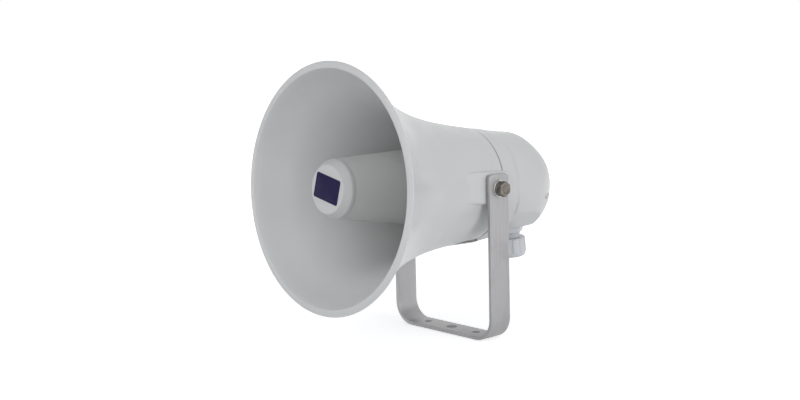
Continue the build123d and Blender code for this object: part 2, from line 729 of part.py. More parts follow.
def make_pole():
    """Back plate with the vented centre pole."""
    yoke = ring(VENT_R, POLE_R, DRIVER_REAR, MAGNET_REAR + 1)
    yoke += ring(VENT_R, MAGNET_R + 1, MAGNET_REAR, BACK_REAR)
    for x, z in chassis_screw_spots():
        yoke -= rod(CHASSIS_SCREW_R + THREAD_GAP, (x, BACK_REAR - CHASSIS_SCREW_BITE - 0.5, z),
                    (x, BACK_REAR + 1, z))
    return yoke


def pan_screw(radius, head_r, head_h, tip, seat):
    """Cross-head screw along Y at the origin, head face towards the back."""
    one = rod(radius, (0, tip, 0), (0, seat + head_h / 2, 0))
    one += chamfer(rod(head_r, (0, seat, 0), (0, seat + head_h, 0))
                   .faces().sort_by(Axis.Y)[-1].edges(), head_h * 0.28)
    arm = head_r * 1.1
    return one - Pos(0, seat + head_h, 0) * (Box(arm, head_h, 0.7) + Box(0.7, head_h, arm))


def make_driver_screws():
    """Screws holding the driver to the bulkhead."""
    one = pan_screw(DRIVER_SCREW_R, DRIVER_HEAD_R, DRIVER_HEAD_H,
                    BULKHEAD_REAR - DRIVER_SCREW_BITE, PLATE_REAR)
    return at_driver_screws(Pos(DRIVER_SCREW_AT, 0, 0) * one)


def transformer_mid():
    """Axial middle of the transformer core."""
    return CHASSIS_REAR + WINDING_T + BOBBIN_T + CORE_T / 2 + 1.0


def foot_spots():
    """Places of the strap's foot screws on the chassis plate."""
    reach = CORE_W / 2 + STRAP_T + STRAP_FOOT / 2 - 1.5
    return [(-reach, TRANSFORMER_Z), (reach, TRANSFORMER_Z)]


def make_chassis():
    """Steel plate that carries transformer and terminal block."""
    low, high = TERMINAL_Z - TERMINAL_H / 2 - 1.5, TERMINAL_Z - TERMINAL_H / 2 - 1.5 + CHASSIS_H
    plate = block((-CHASSIS_W / 2, CHASSIS_W / 2), (CHASSIS_Y, CHASSIS_REAR), (low, high))
    plate = fillet(plate.edges().filter_by(Axis.Y), 4)
    plate -= ring(0, VENT_R, CHASSIS_Y - 1, CHASSIS_REAR + 1)
    for x, z in chassis_screw_spots():
        plate -= rod(CHASSIS_SCREW_R + 0.2, (x, CHASSIS_Y - 1, z), (x, CHASSIS_REAR + 1, z))
    for x, z in foot_spots():
        plate -= rod(FOOT_SCREW_R + THREAD_GAP, (x, CHASSIS_Y - 1, z), (x, CHASSIS_REAR + 1, z))
    return plate


def make_chassis_screws():
    """Two screws holding the chassis plate to the magnet's back plate."""
    one = pan_screw(CHASSIS_SCREW_R, CHASSIS_HEAD_R, CHASSIS_HEAD_H, CHASSIS_Y - CHASSIS_SCREW_BITE,
                    CHASSIS_REAR)
    return [Pos(x, 0, z) * one for x, z in chassis_screw_spots()]


def make_core():
    """Laminated shell core with two winding windows."""
    mid = transformer_mid()
    core = Pos(0, mid, TRANSFORMER_Z) * Box(CORE_W, CORE_T, CORE_H)
    shift = CORE_LEG / 2 + CORE_WINDOW_W / 2
    for x in (-shift, shift):
        core -= Pos(x, mid, TRANSFORMER_Z) * Box(CORE_WINDOW_W, CORE_T + 2, CORE_H - CORE_LEG)
    return core


def coil_block(inset_in, inset_out, height):
    """Rectangular tube about the core's middle leg."""
    mid = transformer_mid()
    inner = Box(CORE_LEG + 2 * inset_in, CORE_T + 2 * inset_in, height + 2)
    outer = Box(CORE_LEG + 2 * inset_out, CORE_T + 2 * inset_out, height)
    return Pos(0, mid, TRANSFORMER_Z) * (outer - inner)


def make_bobbin():
    """Plastic bobbin with two end cheeks."""
    room = CORE_H - CORE_LEG - 2 * GLUE_GAP
    body = coil_block(GLUE_GAP, BOBBIN_T, room)
    reach = BOBBIN_T + WINDING_T
    for side in (-1, 1):
        cheek = coil_block(GLUE_GAP, reach, BOBBIN_T)
        body += Pos(0, 0, side * (room - BOBBIN_T) / 2) * cheek
    return body


def make_winding():
    """Copper winding wrapped in tape."""
    room = CORE_H - CORE_LEG - 2 * GLUE_GAP - 2 * BOBBIN_T - 2 * GLUE_GAP
    block_out = coil_block(BOBBIN_T + 0.05, BOBBIN_T + WINDING_T - 0.5, room)
    return fillet(block_out.edges().filter_by(Axis.Z).group_by(SortBy.DISTANCE)[-1], 2.0)


def make_strap():
    """Steel strap round the core with two feet on the chassis plate."""
    mid = transformer_mid()
    z, half = TRANSFORMER_Z, CORE_W / 2 + GLUE_GAP
    back = mid + CORE_T / 2 + GLUE_GAP
    strap_h = CORE_LEG / 2 - 0.5
    top = z + CORE_H / 2
    strap = block((-half - STRAP_T, half + STRAP_T), (back, back + STRAP_T), (top - strap_h, top))
    strap += block((-half - STRAP_T, half + STRAP_T), (back, back + STRAP_T),
                   (z - CORE_H / 2, z - CORE_H / 2 + strap_h))
    for side in (-1, 1):
        near, far = side * half, side * (half + STRAP_T)
        strap += block((near, far), (CHASSIS_REAR, back + STRAP_T), (z - CORE_H / 2, top))
        strap += block((near, side * (half + STRAP_T + STRAP_FOOT)), (CHASSIS_REAR, CHASSIS_REAR + STRAP_T),
                       (z - STRAP_FOOT_H / 2, z + STRAP_FOOT_H / 2))
    for x, h in foot_spots():
        strap -= rod(FOOT_SCREW_R + 0.2, (x, CHASSIS_REAR - 1, h), (x, CHASSIS_REAR + STRAP_T + 1, h))
    return strap


def make_foot_screws():
    """Two screws through the strap's feet."""
    one = pan_screw(FOOT_SCREW_R, FOOT_HEAD_R, FOOT_HEAD_H, CHASSIS_Y + 0.1, CHASSIS_REAR + STRAP_T)
    return [Pos(x, 0, z) * one for x, z in foot_spots()]


def terminal_spots():
    """Middle of each terminal along X."""
    return [-TERMINAL_PITCH, 0.0, TERMINAL_PITCH]


def make_terminal_block():
    """Three-way terminal block moulding."""
    z = (TERMINAL_Z - TERMINAL_H / 2, TERMINAL_Z + TERMINAL_H / 2)
    body = block((-TERMINAL_W / 2, TERMINAL_W / 2), (CHASSIS_REAR, CHASSIS_REAR + TERMINAL_D), z)
    for x in terminal_spots():
        body -= rod(TERMINAL_SCREW_R + 0.4, (x, CHASSIS_REAR + 4, TERMINAL_Z),
                    (x, CHASSIS_REAR + TERMINAL_D + 1, TERMINAL_Z))
        body -= rod(TERMINAL_HOLE_R, (x, CHASSIS_REAR + 4.6, z[0] - 1), (x, CHASSIS_REAR + 4.6, z[1] + 1))
    for x in (-TERMINAL_PITCH / 2, TERMINAL_PITCH / 2):
        body -= block((x - 0.6, x + 0.6), (CHASSIS_REAR + TERMINAL_D - 3, CHASSIS_REAR + TERMINAL_D + 1),
                      (z[0] - 1, z[1] + 1))
    return body


def make_terminal_clamps():
    """Brass tubes and slotted screws of the three terminals."""
    made = []
    y = CHASSIS_REAR + 4.6
    reach = TERMINAL_H / 2 - 0.5
    for x in terminal_spots():
        tube = rod(TERMINAL_HOLE_R - GLUE_GAP, (x, y, TERMINAL_Z - reach), (x, y, TERMINAL_Z + reach))
        tube -= rod(WIRE_R + 0.5, (x, y, TERMINAL_Z - reach - 1), (x, y, TERMINAL_Z + reach + 1))
        tube += rod(TERMINAL_SCREW_R, (x, y + WIRE_R + 0.9, TERMINAL_Z),
                    (x, CHASSIS_REAR + TERMINAL_D - 3.5, TERMINAL_Z))
        top = CHASSIS_REAR + TERMINAL_D - 3.5
        made.append(tube - Pos(x, top, TERMINAL_Z) * Box(0.7, 1.6, 9))
    return made


def wire(points, bend):
    """Round wire along straight runs with rounded bends."""
    path = FilletPolyline(*points, radius=bend)
    start = Plane(path @ 0, z_dir=path % 0)
    return sweep(start * Circle(WIRE_R), path=path)


def make_line_wires():
    """Two wires from the terminal block up to the transformer winding."""
    y = CHASSIS_REAR + 4.6
    low = TERMINAL_Z + 2.0
    mid = transformer_mid()
    out = mid + CORE_T / 2 + BOBBIN_T + WINDING_T + WIRE_LIFT - 0.45
    made = []
    for side, x in ((-1, -TERMINAL_PITCH), (1, 0.0)):
        lead = side * 3.0
        points = [(x, y, low), (x, y, TERMINAL_Z + TERMINAL_H / 2 + 2.5),
                  (x, out, TERMINAL_Z + TERMINAL_H / 2 + 2.5), (lead, out, TRANSFORMER_Z - 4),
                  (lead, out - WIRE_LIFT, TRANSFORMER_Z - 4)]
        made.append(wire(points, WIRE_BEND))
    return made


def make_driver_wires():
    """Two wires from the winding, past the magnet, to the voice-coil side."""
    mid = transformer_mid()
    out = mid + CORE_T / 2 + BOBBIN_T + WINDING_T + WIRE_LIFT - 0.45
    made = []
    for side in (-1, 1):
        x_side = side * (MAGNET_R + TAG_OUT)
        z = TRANSFORMER_Z + 4
        points = [(side * 3.0, out - WIRE_LIFT, z), (side * 3.0, out, z), (x_side, out, z),
                  (x_side, PLATE_REAR + 3, z), (x_side, PLATE_REAR + 3, TAG_Z),
                  (x_side, PLATE_REAR + TAG_T + 0.2, TAG_Z)]
        made.append(wire(points, WIRE_BEND))
    return made


def make_solder_tags():
    """Two solder tags on the driver's top plate."""
    made = []
    for side in (-1, 1):
        x = side * (MAGNET_R + TAG_OUT)
        made.append(block((x - TAG_W / 2, x + TAG_W / 2), (PLATE_REAR, PLATE_REAR + TAG_T),
                          (TAG_Z - TAG_H / 2, TAG_Z + TAG_H / 2)))
    return made


def gland_shape(points):
    """Solid of revolution about the gland axis from (radius, height) corners."""
    face = make_face(Polyline(*points, close=True))
    return gland_frame() * revolve(Plane.XZ * face, Axis.Z)


def gland_disc(r_in, r_out, low, high):
    """Ring about the gland axis."""
    return gland_shape([(r_in, low), (r_out, low), (r_out, high), (r_in, high)])


def gland_levels():
    """Heights along the gland axis: flange top, nut start, nut end, neck end."""
    flange = GASKET_T + GLAND_FLANGE_T
    nut = flange + NECK_SHOW
    return flange, nut, nut + NUT_LEN, nut + NUT_LEN - NUT_ROUND - 2.0


def make_gasket():
    """Flat gasket under the gland's flange."""
    return gland_disc(GLAND_THREAD_R + 0.3, GLAND_AF / 2 - 0.6, 0, GASKET_T)


def make_gland_body():
    """Gland body: inner thread, hexagon flange, neck and clamping fingers."""
    flange, _, _, neck_end = gland_levels()
    r = GLAND_THREAD_R
    body = gland_disc(GLAND_BORE_R, r, -GLAND_ENTRY, neck_end - FINGER_LEN)
    body += gland_disc(GLAND_BORE_R, GLAND_BORE_R + FINGER_WALL, neck_end - FINGER_LEN - 1, neck_end)
    body += gland_frame() * (Pos(0, 0, GASKET_T) * hexagon(GLAND_AF, Plane.XY, GLAND_FLANGE_T)) \
        - gland_disc(0, r - 1, -GLAND_ENTRY, neck_end)
    slot = Pos(0, 0, neck_end) * Box(2 * NUT_R, FINGER_SLIT, 2 * FINGER_LEN - 2)
    for i in range(FINGERS // 2):
        body -= gland_frame() * (Rot(0, 0, 360 * i / FINGERS) * slot)
    return body


def make_gland_seal():
    """Rubber sleeve that grips the cable."""
    _, _, _, neck_end = gland_levels()
    return gland_disc(INSERT_SEAL_R, GLAND_BORE_R - GLUE_GAP, neck_end - FINGER_LEN - 4, neck_end - 0.6)


def make_gland_nut():
    """Ribbed dome nut that squeezes the fingers."""
    _, start, end, neck_end = gland_levels()
    bore = GLAND_THREAD_R + TURN_GAP
    finger = GLAND_BORE_R + FINGER_WALL
    root = neck_end - FINGER_LEN
    face = make_face(Polyline((bore, start), (NUT_R, start), (NUT_R, end), (NUT_MOUTH_R, end),
                              (NUT_MOUTH_R, neck_end + 1.2), (finger + 0.5, neck_end + 0.5),
                              (finger + 0.5, root + 1.0), (bore, root + 0.2), close=True))
    shoulder = face.vertices().sort_by_distance((NUT_R, end, 0))[0]
    nut = revolve(Plane.XZ * fillet(shoulder, NUT_ROUND), Axis.Z)
    rib_h = NUT_LEN - NUT_ROUND - 0.5
    rib = Pos(NUT_R, 0, start + rib_h / 2) * Box(2 * NUT_RIB, 3.6, rib_h)
    rib = chamfer(rib.edges().filter_by(Axis.Z).group_by(Axis.X)[-1], NUT_RIB * 0.6)
    for i in range(NUT_RIBS):
        nut += Rot(0, 0, 360 * i / NUT_RIBS) * rib
    return gland_frame() * nut


def make_locknut():
    """Hexagon nut inside the cover."""
    low = -WALL - LOCKNUT_T
    nut = hexagon(LOCKNUT_AF, Plane.XY, LOCKNUT_T)
    nut -= Cylinder(GLAND_THREAD_R + THREAD_GAP, 3 * LOCKNUT_T)
    return gland_frame() * (Pos(0, 0, low) * nut)


PIECES = {
    "pivot_bolts": make_bolts,
    "flat_washers": make_flat_washers,
    "spring_washers": make_spring_washers,
    "spacer_washers": make_spacers,
    "pivot_inserts": make_inserts,
    "bell": make_bell,
    "cover_seal": make_seal,
    "rear_cover": make_cover,
    "cover_screws": make_cover_screws,
    "throat_tube": make_throat,
    "reflector": make_reflector,
    "reflector_cap": make_cap,
    "badge_plate": make_badge,
    "driver_housing": make_housing,
    "phase_plug": make_phase_plug,
    "diaphragm": make_diaphragm,
    "voice_coil": make_coil,
    "surround": make_surround,
    "clamp_ring": make_clamp_ring,
    "top_plate": make_top_plate,
    "magnet": make_magnet,
    "pole_yoke": make_pole,
    "driver_screws": make_driver_screws,
    "solder_tags": make_solder_tags,
    "chassis_plate": make_chassis,
    "chassis_screws": make_chassis_screws,
    "transformer_core": make_core,
    "transformer_bobbin": make_bobbin,
    "transformer_winding": make_winding,
    "transformer_strap": make_strap,
    "foot_screws": make_foot_screws,
    "terminal_block": make_terminal_block,
    "terminal_clamps": make_terminal_clamps,
    "line_wires": make_line_wires,
    "driver_wires": make_driver_wires,
    "gland_gasket": make_gasket,
    "gland_body": make_gland_body,
    "gland_seal": make_gland_seal,
    "gland_nut": make_gland_nut,
    "gland_locknut": make_locknut,
}


def finished(name, maker):
    """Piece or group of pieces in the shared frame, labelled by its node."""
    made = maker()
    group = made if isinstance(made, list) else [made]
    solids = [place_horn(item) for item in group]
    shape = solids[0] if len(solids) == 1 else Compound(children=solids)
    shape.label = name
    return shape


os.makedirs("parts", exist_ok=True)
bracket = make_bracket()
bracket.label = "u_bracket"
export_step(bracket, "parts/u_bracket.step")
for piece, build in PIECES.items():
    export_step(finished(piece, build), f"parts/{piece}.step")
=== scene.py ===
"""Looks of a re-entrant PA horn speaker on its U bracket.

Sizes are in millimetres until a mesh is made. The horn's own frame has its axis
along Y (mouth at negative Y) with the tilt pivot at Y = 0; HornFrame carries it
onto the bracket, whose underside is Z = 0.
"""
from __future__ import annotations

import json
import logging
import math
from dataclasses import dataclass, field
from enum import Enum
from functools import cached_property
from typing import Callable, Optional, Sequence, Union

import bmesh
import bpy
import numpy as np
from mathutils import Matrix, Vector

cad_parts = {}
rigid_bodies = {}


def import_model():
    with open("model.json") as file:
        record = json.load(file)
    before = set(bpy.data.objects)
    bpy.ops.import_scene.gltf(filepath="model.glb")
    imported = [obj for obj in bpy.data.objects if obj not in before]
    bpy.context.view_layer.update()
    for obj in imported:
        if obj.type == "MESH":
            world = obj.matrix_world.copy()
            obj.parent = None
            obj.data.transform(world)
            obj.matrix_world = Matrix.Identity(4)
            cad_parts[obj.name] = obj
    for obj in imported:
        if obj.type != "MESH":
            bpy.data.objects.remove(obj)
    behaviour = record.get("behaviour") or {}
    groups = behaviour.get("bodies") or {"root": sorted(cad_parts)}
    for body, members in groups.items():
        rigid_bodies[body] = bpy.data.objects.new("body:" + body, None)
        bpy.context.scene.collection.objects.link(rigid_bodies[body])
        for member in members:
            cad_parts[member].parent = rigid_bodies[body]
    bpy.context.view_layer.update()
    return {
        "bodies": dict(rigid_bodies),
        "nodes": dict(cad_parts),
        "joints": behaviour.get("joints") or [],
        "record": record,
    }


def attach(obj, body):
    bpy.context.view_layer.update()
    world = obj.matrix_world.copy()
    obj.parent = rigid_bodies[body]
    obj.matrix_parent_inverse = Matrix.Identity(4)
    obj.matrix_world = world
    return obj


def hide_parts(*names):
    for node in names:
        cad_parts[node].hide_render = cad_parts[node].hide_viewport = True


LOG = logging.getLogger("horn_speaker")
Array = np.ndarray
Object = bpy.types.Object
Socket = bpy.types.NodeSocket
Triples = Sequence[tuple[float, float, float]]

MM = 1000.0     # millimetres in a metre
FAR = 400.0     # a distance that no surface reaches
TINY = 1e-6     # keeps a divisor away from zero
QUARTER = math.pi / 2
SIXTH = math.pi / 3
WHITE = (1.0, 1.0, 1.0, 1.0)


class Texture(Enum):
    """Kinds of surface that a finish can have."""

    MOULDED = "moulded"
    ROLLED = "rolled"
    TURNED = "turned"
    RUBBER = "rubber"


@dataclass(frozen=True)
class HornFrame:
    """Place of the leaning horn on the bracket.

    Attributes:
        pivot_height: height of the tilt pivot above the bracket's underside.
        axis_drop: how far the horn axis runs below the pivot.
        tilt: mouth-up lean in degrees.
    """

    pivot_height: float = 156.0
    axis_drop: float = 2.54
    tilt: float = 4.7

    def place(self, points: Array) -> Array:
        """Carries horn-frame points to the shared frame, in metres.

        Args:
            points: array (..., 3) in millimetres about the horn axis.

        Returns:
            Array of the same shape in metres: shift down by axis_drop, turn by
            the tilt about X, lift by pivot_height.
        """
        c, s = math.cos(math.radians(self.tilt)), math.sin(math.radians(self.tilt))
        x, y, z = points[..., 0], points[..., 1], points[..., 2] - self.axis_drop
        return np.stack([x, y * c + z * s, z * c - y * s + self.pivot_height], axis=-1) / MM

    def unplace(self, points: Array) -> Array:
        """Carries shared-frame points in metres back to the horn frame in millimetres.

        Args:
            points: array (..., 3) in metres.

        Returns:
            Array of the same shape.
        """
        c, s = math.cos(math.radians(self.tilt)), math.sin(math.radians(self.tilt))
        x, y, z = points[..., 0] * MM, points[..., 1] * MM, points[..., 2] * MM - self.pivot_height
        return np.stack([x, y * c - z * s, y * s + z * c + self.axis_drop], axis=-1)


HORN = HornFrame()


# Curves and surfaces


def soften(corners: Triples, closed: bool = True, bits: int = 5) -> Array:
    """Polyline with rounded corners.

    Each corner (x, y, radius) is replaced by a quadratic arc that starts and
    ends one radius away from it: p(t) = (1-t)^2 a + 2t(1-t) c + t^2 b.

    Args:
        corners: corner points with their rounding radius; zero stays sharp.
        closed: whether the last corner joins the first.
        bits: number of steps in each arc.

    Returns:
        Array (n, 2) of points.
    """
    most = 0.48
    data = np.array(corners, float)
    points: list[Array] = []
    t = np.linspace(0.0, 1.0, bits + 1)[:, None]
    for i, (x, y, radius) in enumerate(data):
        here = np.array([x, y])
        if radius <= 0 or (not closed and i in (0, len(data) - 1)):
            points.append(here[None])
            continue
        starts = []
        for other in (data[i - 1, :2], data[(i + 1) % len(data), :2]):
            reach = np.hypot(*(other - here))
            starts.append(here + (other - here) / reach * min(radius, reach * most))
        points.append((1 - t) ** 2 * starts[0] + 2 * t * (1 - t) * here + t ** 2 * starts[1])
    return np.concatenate(points)


def smooth_line(knots: Sequence[tuple[float, float]], at: Array) -> Array:
    """Smooth curve y(x) through knots, sampled at chosen x.

    On each span y is the cubic whose end slopes are the knots' mean slopes.

    Args:
        knots: (x, y) pairs with rising x.
        at: places to sample.

    Returns:
        Array of y values.
    """
    x, y = np.array(knots, float).T
    slope = np.gradient(y, x)
    i = np.clip(np.searchsorted(x, at, side="right") - 1, 0, len(x) - 2)
    h = x[i + 1] - x[i]
    t = (at - x[i]) / h
    return ((2 * t ** 3 - 3 * t ** 2 + 1) * y[i] + (t ** 3 - 2 * t ** 2 + t) * h * slope[i]
            + (3 * t ** 2 - 2 * t ** 3) * y[i + 1] + (t ** 3 - t ** 2) * h * slope[i + 1])


def fill_in(points: Array, step: float) -> Array:
    """Polyline with extra points so that no stretch is longer than a step.

    Args:
        points: (n, 2) array.
        step: longest stretch allowed.

    Returns:
        Array (m, 2) that still holds every given point.
    """
    counts = np.maximum(1, np.ceil(np.hypot(*np.diff(points, axis=0).T) / step)).astype(int)
    at = np.concatenate([np.arange(n) / n + i for i, n in enumerate(counts)]
                        + [[float(len(counts))]])
    index = np.arange(len(points))
    return np.stack([np.interp(at, index, points[:, 0]), np.interp(at, index, points[:, 1])],
                    axis=1)


def soft_min(a: Array, b: Array, blend: float) -> Array:
    """Smooth smaller value: (a + b - sqrt((a - b)^2 + blend^2)) / 2."""
    return (a + b - np.sqrt((a - b) ** 2 + blend ** 2)) / 2


def angles(count: int, dense: Triples = ()) -> Array:
    """Angles round a circle, closer together over chosen stretches.

    Args:
        count: number of evenly spaced angles.
        dense: (from, to, step) stretches in degrees that get extra angles.

    Returns:
        Sorted array of radians in [0, 2 pi).
    """
    rows = [np.arange(count) * 360.0 / count]
    rows += [np.arange(a, b + step / 2, step) % 360.0 for a, b, step in dense]
    merged = np.unique(np.round(np.concatenate(rows), 4))
    keep = np.concatenate([[True], np.diff(merged) > 0.03])
    return np.radians(merged[keep])


def columns(values: Sequence[Union[float, Array]], turn: Array) -> Array:
    """Table (n, m) with one column for each value: a number, or one number per angle."""
    return np.stack([np.broadcast_to(value, turn.shape) for value in values], axis=1)


def around(radius: Array, y: Array, turn: Array) -> Array:
    """Surface round the Y axis: point (i, j) is (r cos a_i, y_j, r sin a_i).

    Args:
        radius: (m,) profile radii, or an (n, m) table of them.
        y: (m,) places along the axis.
        turn: n angles a_i.

    Returns:
        Array (n, m, 3).
    """
    r = np.broadcast_to(radius, (len(turn), len(y)))
    return np.stack([r * np.cos(turn)[:, None], np.broadcast_to(y, r.shape),
                     r * np.sin(turn)[:, None]], axis=-1)


def capped(grid: Array) -> Array:
    """Grid with a further row at each end, drawn to its middle so that the end closes."""
    ends = [np.broadcast_to(row.mean(axis=0), row.shape)[None] for row in (grid[0], grid[-1])]
    return np.concatenate([ends[0], grid, ends[1]])


def grid_faces(rows: int, cols: int, wrap_rows: bool, wrap_cols: bool) -> Array:
    """Quads of a grid: (i, j), (i, j+1), (i+1, j+1), (i+1, j), wrapping where asked.

    Args:
        rows: number of rows.
        cols: number of columns.
        wrap_rows: whether the last row joins the first.
        wrap_cols: whether the last column joins the first.

    Returns:
        Array (k, 4) of corner indices.
    """
    i = np.arange(rows if wrap_rows else rows - 1)[:, None]
    j = np.arange(cols if wrap_cols else cols - 1)[None, :]
    n_i, n_j = (i + 1) % rows, (j + 1) % cols
    quads = np.stack([i * cols + j, i * cols + n_j, n_i * cols + n_j, n_i * cols + j], axis=-1)
    return quads.reshape(-1, 4)


def shade(mesh: bpy.types.Mesh, sharp: float) -> None:
    """Smooth shading, with edges left sharp past an angle in degrees."""
    mesh.shade_smooth()
    mesh.set_sharp_from_angle(angle=math.radians(sharp))


def make_mesh(name: str, points: Array, faces: Array, sharp: float = 32.0) -> Object:
    """Object from arrays, doubles merged, faces outwards, edges sharp by angle.

    Args:
        name: name of the piece.
        points: (n, 3) array in metres.
        faces: (m, 4) array of corner indices.
        sharp: angle in degrees past which an edge stays sharp.

    Returns:
        The new object, linked to the scene.
    """
    mesh = bpy.data.meshes.new(name)
    mesh.from_pydata(points.reshape(-1, 3), [], faces.tolist())
    obj = bpy.data.objects.new(name, mesh)
    bpy.context.scene.collection.objects.link(obj)
    work = bmesh.new()
    work.from_mesh(mesh)
    bmesh.ops.remove_doubles(work, verts=work.verts, dist=2e-6)
    bmesh.ops.dissolve_degenerate(work, edges=work.edges, dist=1e-6)
    bmesh.ops.recalc_face_normals(work, faces=work.faces)
    work.to_mesh(mesh)
    work.free()
    shade(mesh, sharp)
    mesh.update()
    return obj


def horn_piece(name: str, points: Array, closed: bool, sharp: float = 32.0) -> Object:
    """Piece from a grid that wraps round an axis.

    Args:
        name: name of the piece.
        points: (n, m, 3) grid in the horn frame, wrapping in its first index.
        closed: whether the profile also wraps.
        sharp: angle in degrees past which an edge stays sharp.

    Returns:
        The new object.
    """
    return make_mesh(name, HORN.place(points), grid_faces(*points.shape[:2], True, closed), sharp)


def mark(obj: Object, name: str, rule: Callable[[Array], Array]) -> None:
    """Stores a value from 0 to 1 on every vertex, for a finish to read.

    Args:
        obj: piece that gets the attribute.
        name: name of the attribute.
        rule: gives the values from horn-frame points in millimetres.
    """
    points = np.empty(len(obj.data.vertices) * 3)
    obj.data.vertices.foreach_get("co", points)
    values = np.clip(rule(HORN.unplace(points.reshape(-1, 3))), 0.0, 1.0).astype(np.float32)
    obj.data.attributes.new(name, "FLOAT", "POINT").data.foreach_set("value", values)


def cut(obj: Object, tool: Object, sharp: float = 32.0) -> None:
    """Takes the tool's volume out of an object and removes the tool.

    Args:
        obj: object that is cut.
        tool: closed object to subtract.
        sharp: angle in degrees past which an edge stays sharp.
    """
    modifier = obj.modifiers.new("cut", "BOOLEAN")
    modifier.operation, modifier.solver, modifier.object = "DIFFERENCE", "EXACT", tool
    bpy.context.view_layer.update()
    graph = bpy.context.evaluated_depsgraph_get()
    shaped = bpy.data.meshes.new_from_object(obj.evaluated_get(graph))
    obj.modifiers.clear()
    obj.data = shaped
    bpy.data.objects.remove(tool)
    shade(shaped, sharp)


# Finishes


class NodeBench:
    """Small helper that lays out the nodes of one material or world."""

    def __init__(self, owner: Union[bpy.types.Material, bpy.types.World]) -> None:
        """Takes over the node tree of a material or world."""
        owner.use_nodes = True
        self.owner, self.tree = owner, owner.node_tree

    @cached_property
    def coords(self) -> Socket:
        """Object coordinates."""
        return self.add("ShaderNodeTexCoord").outputs["Object"]

    def add(self, kind: str, **settings: object) -> bpy.types.Node:
        """Adds a node, with attributes or input defaults given by name.

        Args:
            kind: node type.
            settings: attributes, or inputs in lower case with underscores.

        Returns:
            The new node.
        """
        node = self.tree.nodes.new(kind)
        for key, value in settings.items():
            if hasattr(node, key):
                setattr(node, key, value)
            else:
                node.inputs[key.replace("_", " ").title()].default_value = value
        return node

    def plug(self, value: object, target: Socket) -> None:
        """Links a socket to an input, or sets the input to a number or colour.

        Args:
            value: a socket, number or colour.
            target: input that takes it.
        """
        if isinstance(value, Socket):
            self.tree.links.new(value, target)
        else:
            target.default_value = value

    def wire(self, values: dict[str, object]) -> bpy.types.Material:
        """Plugs values into the shader's inputs by name and gives back the material.

        Args:
            values: what each input takes, by the input's name.

        Returns:
            The material.
        """
        shader = self.tree.nodes["Principled BSDF"]
        for key, value in values.items():
            self.plug(value, shader.inputs[key])
        return self.owner

    def calc(self, operation: str, a: Socket, b: Union[Socket, float]) -> Socket:
        """Result of a Math node.

        Args:
            operation: what the node works out.
            a: first value.
            b: second value.

        Returns:
            The result.
        """
        node = self.add("ShaderNodeMath", operation=operation)
        self.plug(a, node.inputs[0])
        self.plug(b, node.inputs[1])
        return node.outputs[0]

    def mark(self, name: str) -> Socket:
        """Value that mark() stored on the mesh."""
        return self.add("ShaderNodeAttribute", attribute_name=name).outputs["Fac"]

    def noise(self, scale: float, detail: float, rough: float,
              stretch: Optional[Sequence[float]] = None) -> Socket:
        """Noise value, in features per metre, stretched along the axes where asked.

        Args:
            scale: features per metre.
            detail: number of finer layers.
            rough: strength of the finer layers.
            stretch: factor on the scale along each axis.

        Returns:
            Value about one half.
        """
        node = self.add("ShaderNodeTexNoise", scale=scale, detail=detail, roughness=rough)
        vector = self.coords
        if stretch is not None:
            mapping = self.add("ShaderNodeMapping")
            mapping.inputs["Scale"].default_value = stretch
            self.plug(vector, mapping.inputs["Vector"])
            vector = mapping.outputs["Vector"]
        self.plug(vector, node.inputs["Vector"])
        return node.outputs["Fac"]

    def dots(self, scale: float, size: float, share: float) -> Socket:
        """Small round specks in some of the cells of a scattered cell pattern.

        Args:
            scale: cells per metre.
            size: radius of a speck in cells.
            share: part of the cells that hold one, picked by the cell's colour.

        Returns:
            One inside a speck, zero elsewhere, with a soft rim.
        """
        cells = self.add("ShaderNodeTexVoronoi", scale=scale)
        self.plug(self.coords, cells.inputs["Vector"])
        inside = self.ramp(cells.outputs["Distance"], size * 0.5, size, 1.0, 0.0)
        return self.calc("MULTIPLY", inside, self.calc("LESS_THAN", cells.outputs["Color"], share))

    def ramp(self, value: Socket, low: float, high: float,
             out_low: float = 0.0, out_high: float = 1.0) -> Socket:
        """Maps a value linearly from one span to another, clamped.

        Args:
            value: what is mapped.
            low: value that gives out_low.
            high: value that gives out_high.
            out_low: result at and below low.
            out_high: result at and above high.

        Returns:
            The result.
        """
        node = self.add("ShaderNodeMapRange", from_min=low, from_max=high,
                        to_min=out_low, to_max=out_high)
        self.plug(value, node.inputs["Value"])
        return node.outputs["Result"]

    def mix(self, factor: Socket, a: object, b: object) -> Socket:
        """Mixes two colours; each is an RGB tuple or a socket.

        Args:
            factor: zero gives a, one gives b.
            a: first colour.
            b: second colour.

        Returns:
            The mixed colour.
        """
        node = self.add("ShaderNodeMix", data_type="RGBA")
        self.plug(factor, node.inputs["Factor"])
        for socket, value in ((node.inputs[6], a), (node.inputs[7], b)):
            self.plug(value if isinstance(value, Socket) else (*value, 1.0), socket)
        return node.outputs[2]

    def bump(self, height: Socket, distance: float, strength: float,
             below: Optional[Socket] = None) -> Socket:
        """Bump of a height in metres, laid over another where given.

        Args:
            height: relief between zero and one.
            distance: height in metres of a full one.
            strength: share of the relief that shows.
            below: normal of a coarser relief.

        Returns:
            The bent normal.
        """
        node = self.add("ShaderNodeBump", distance=distance, strength=strength)
        self.plug(height, node.inputs["Height"])
        if below is not None:
            self.plug(below, node.inputs["Normal"])
        return node.outputs["Normal"]


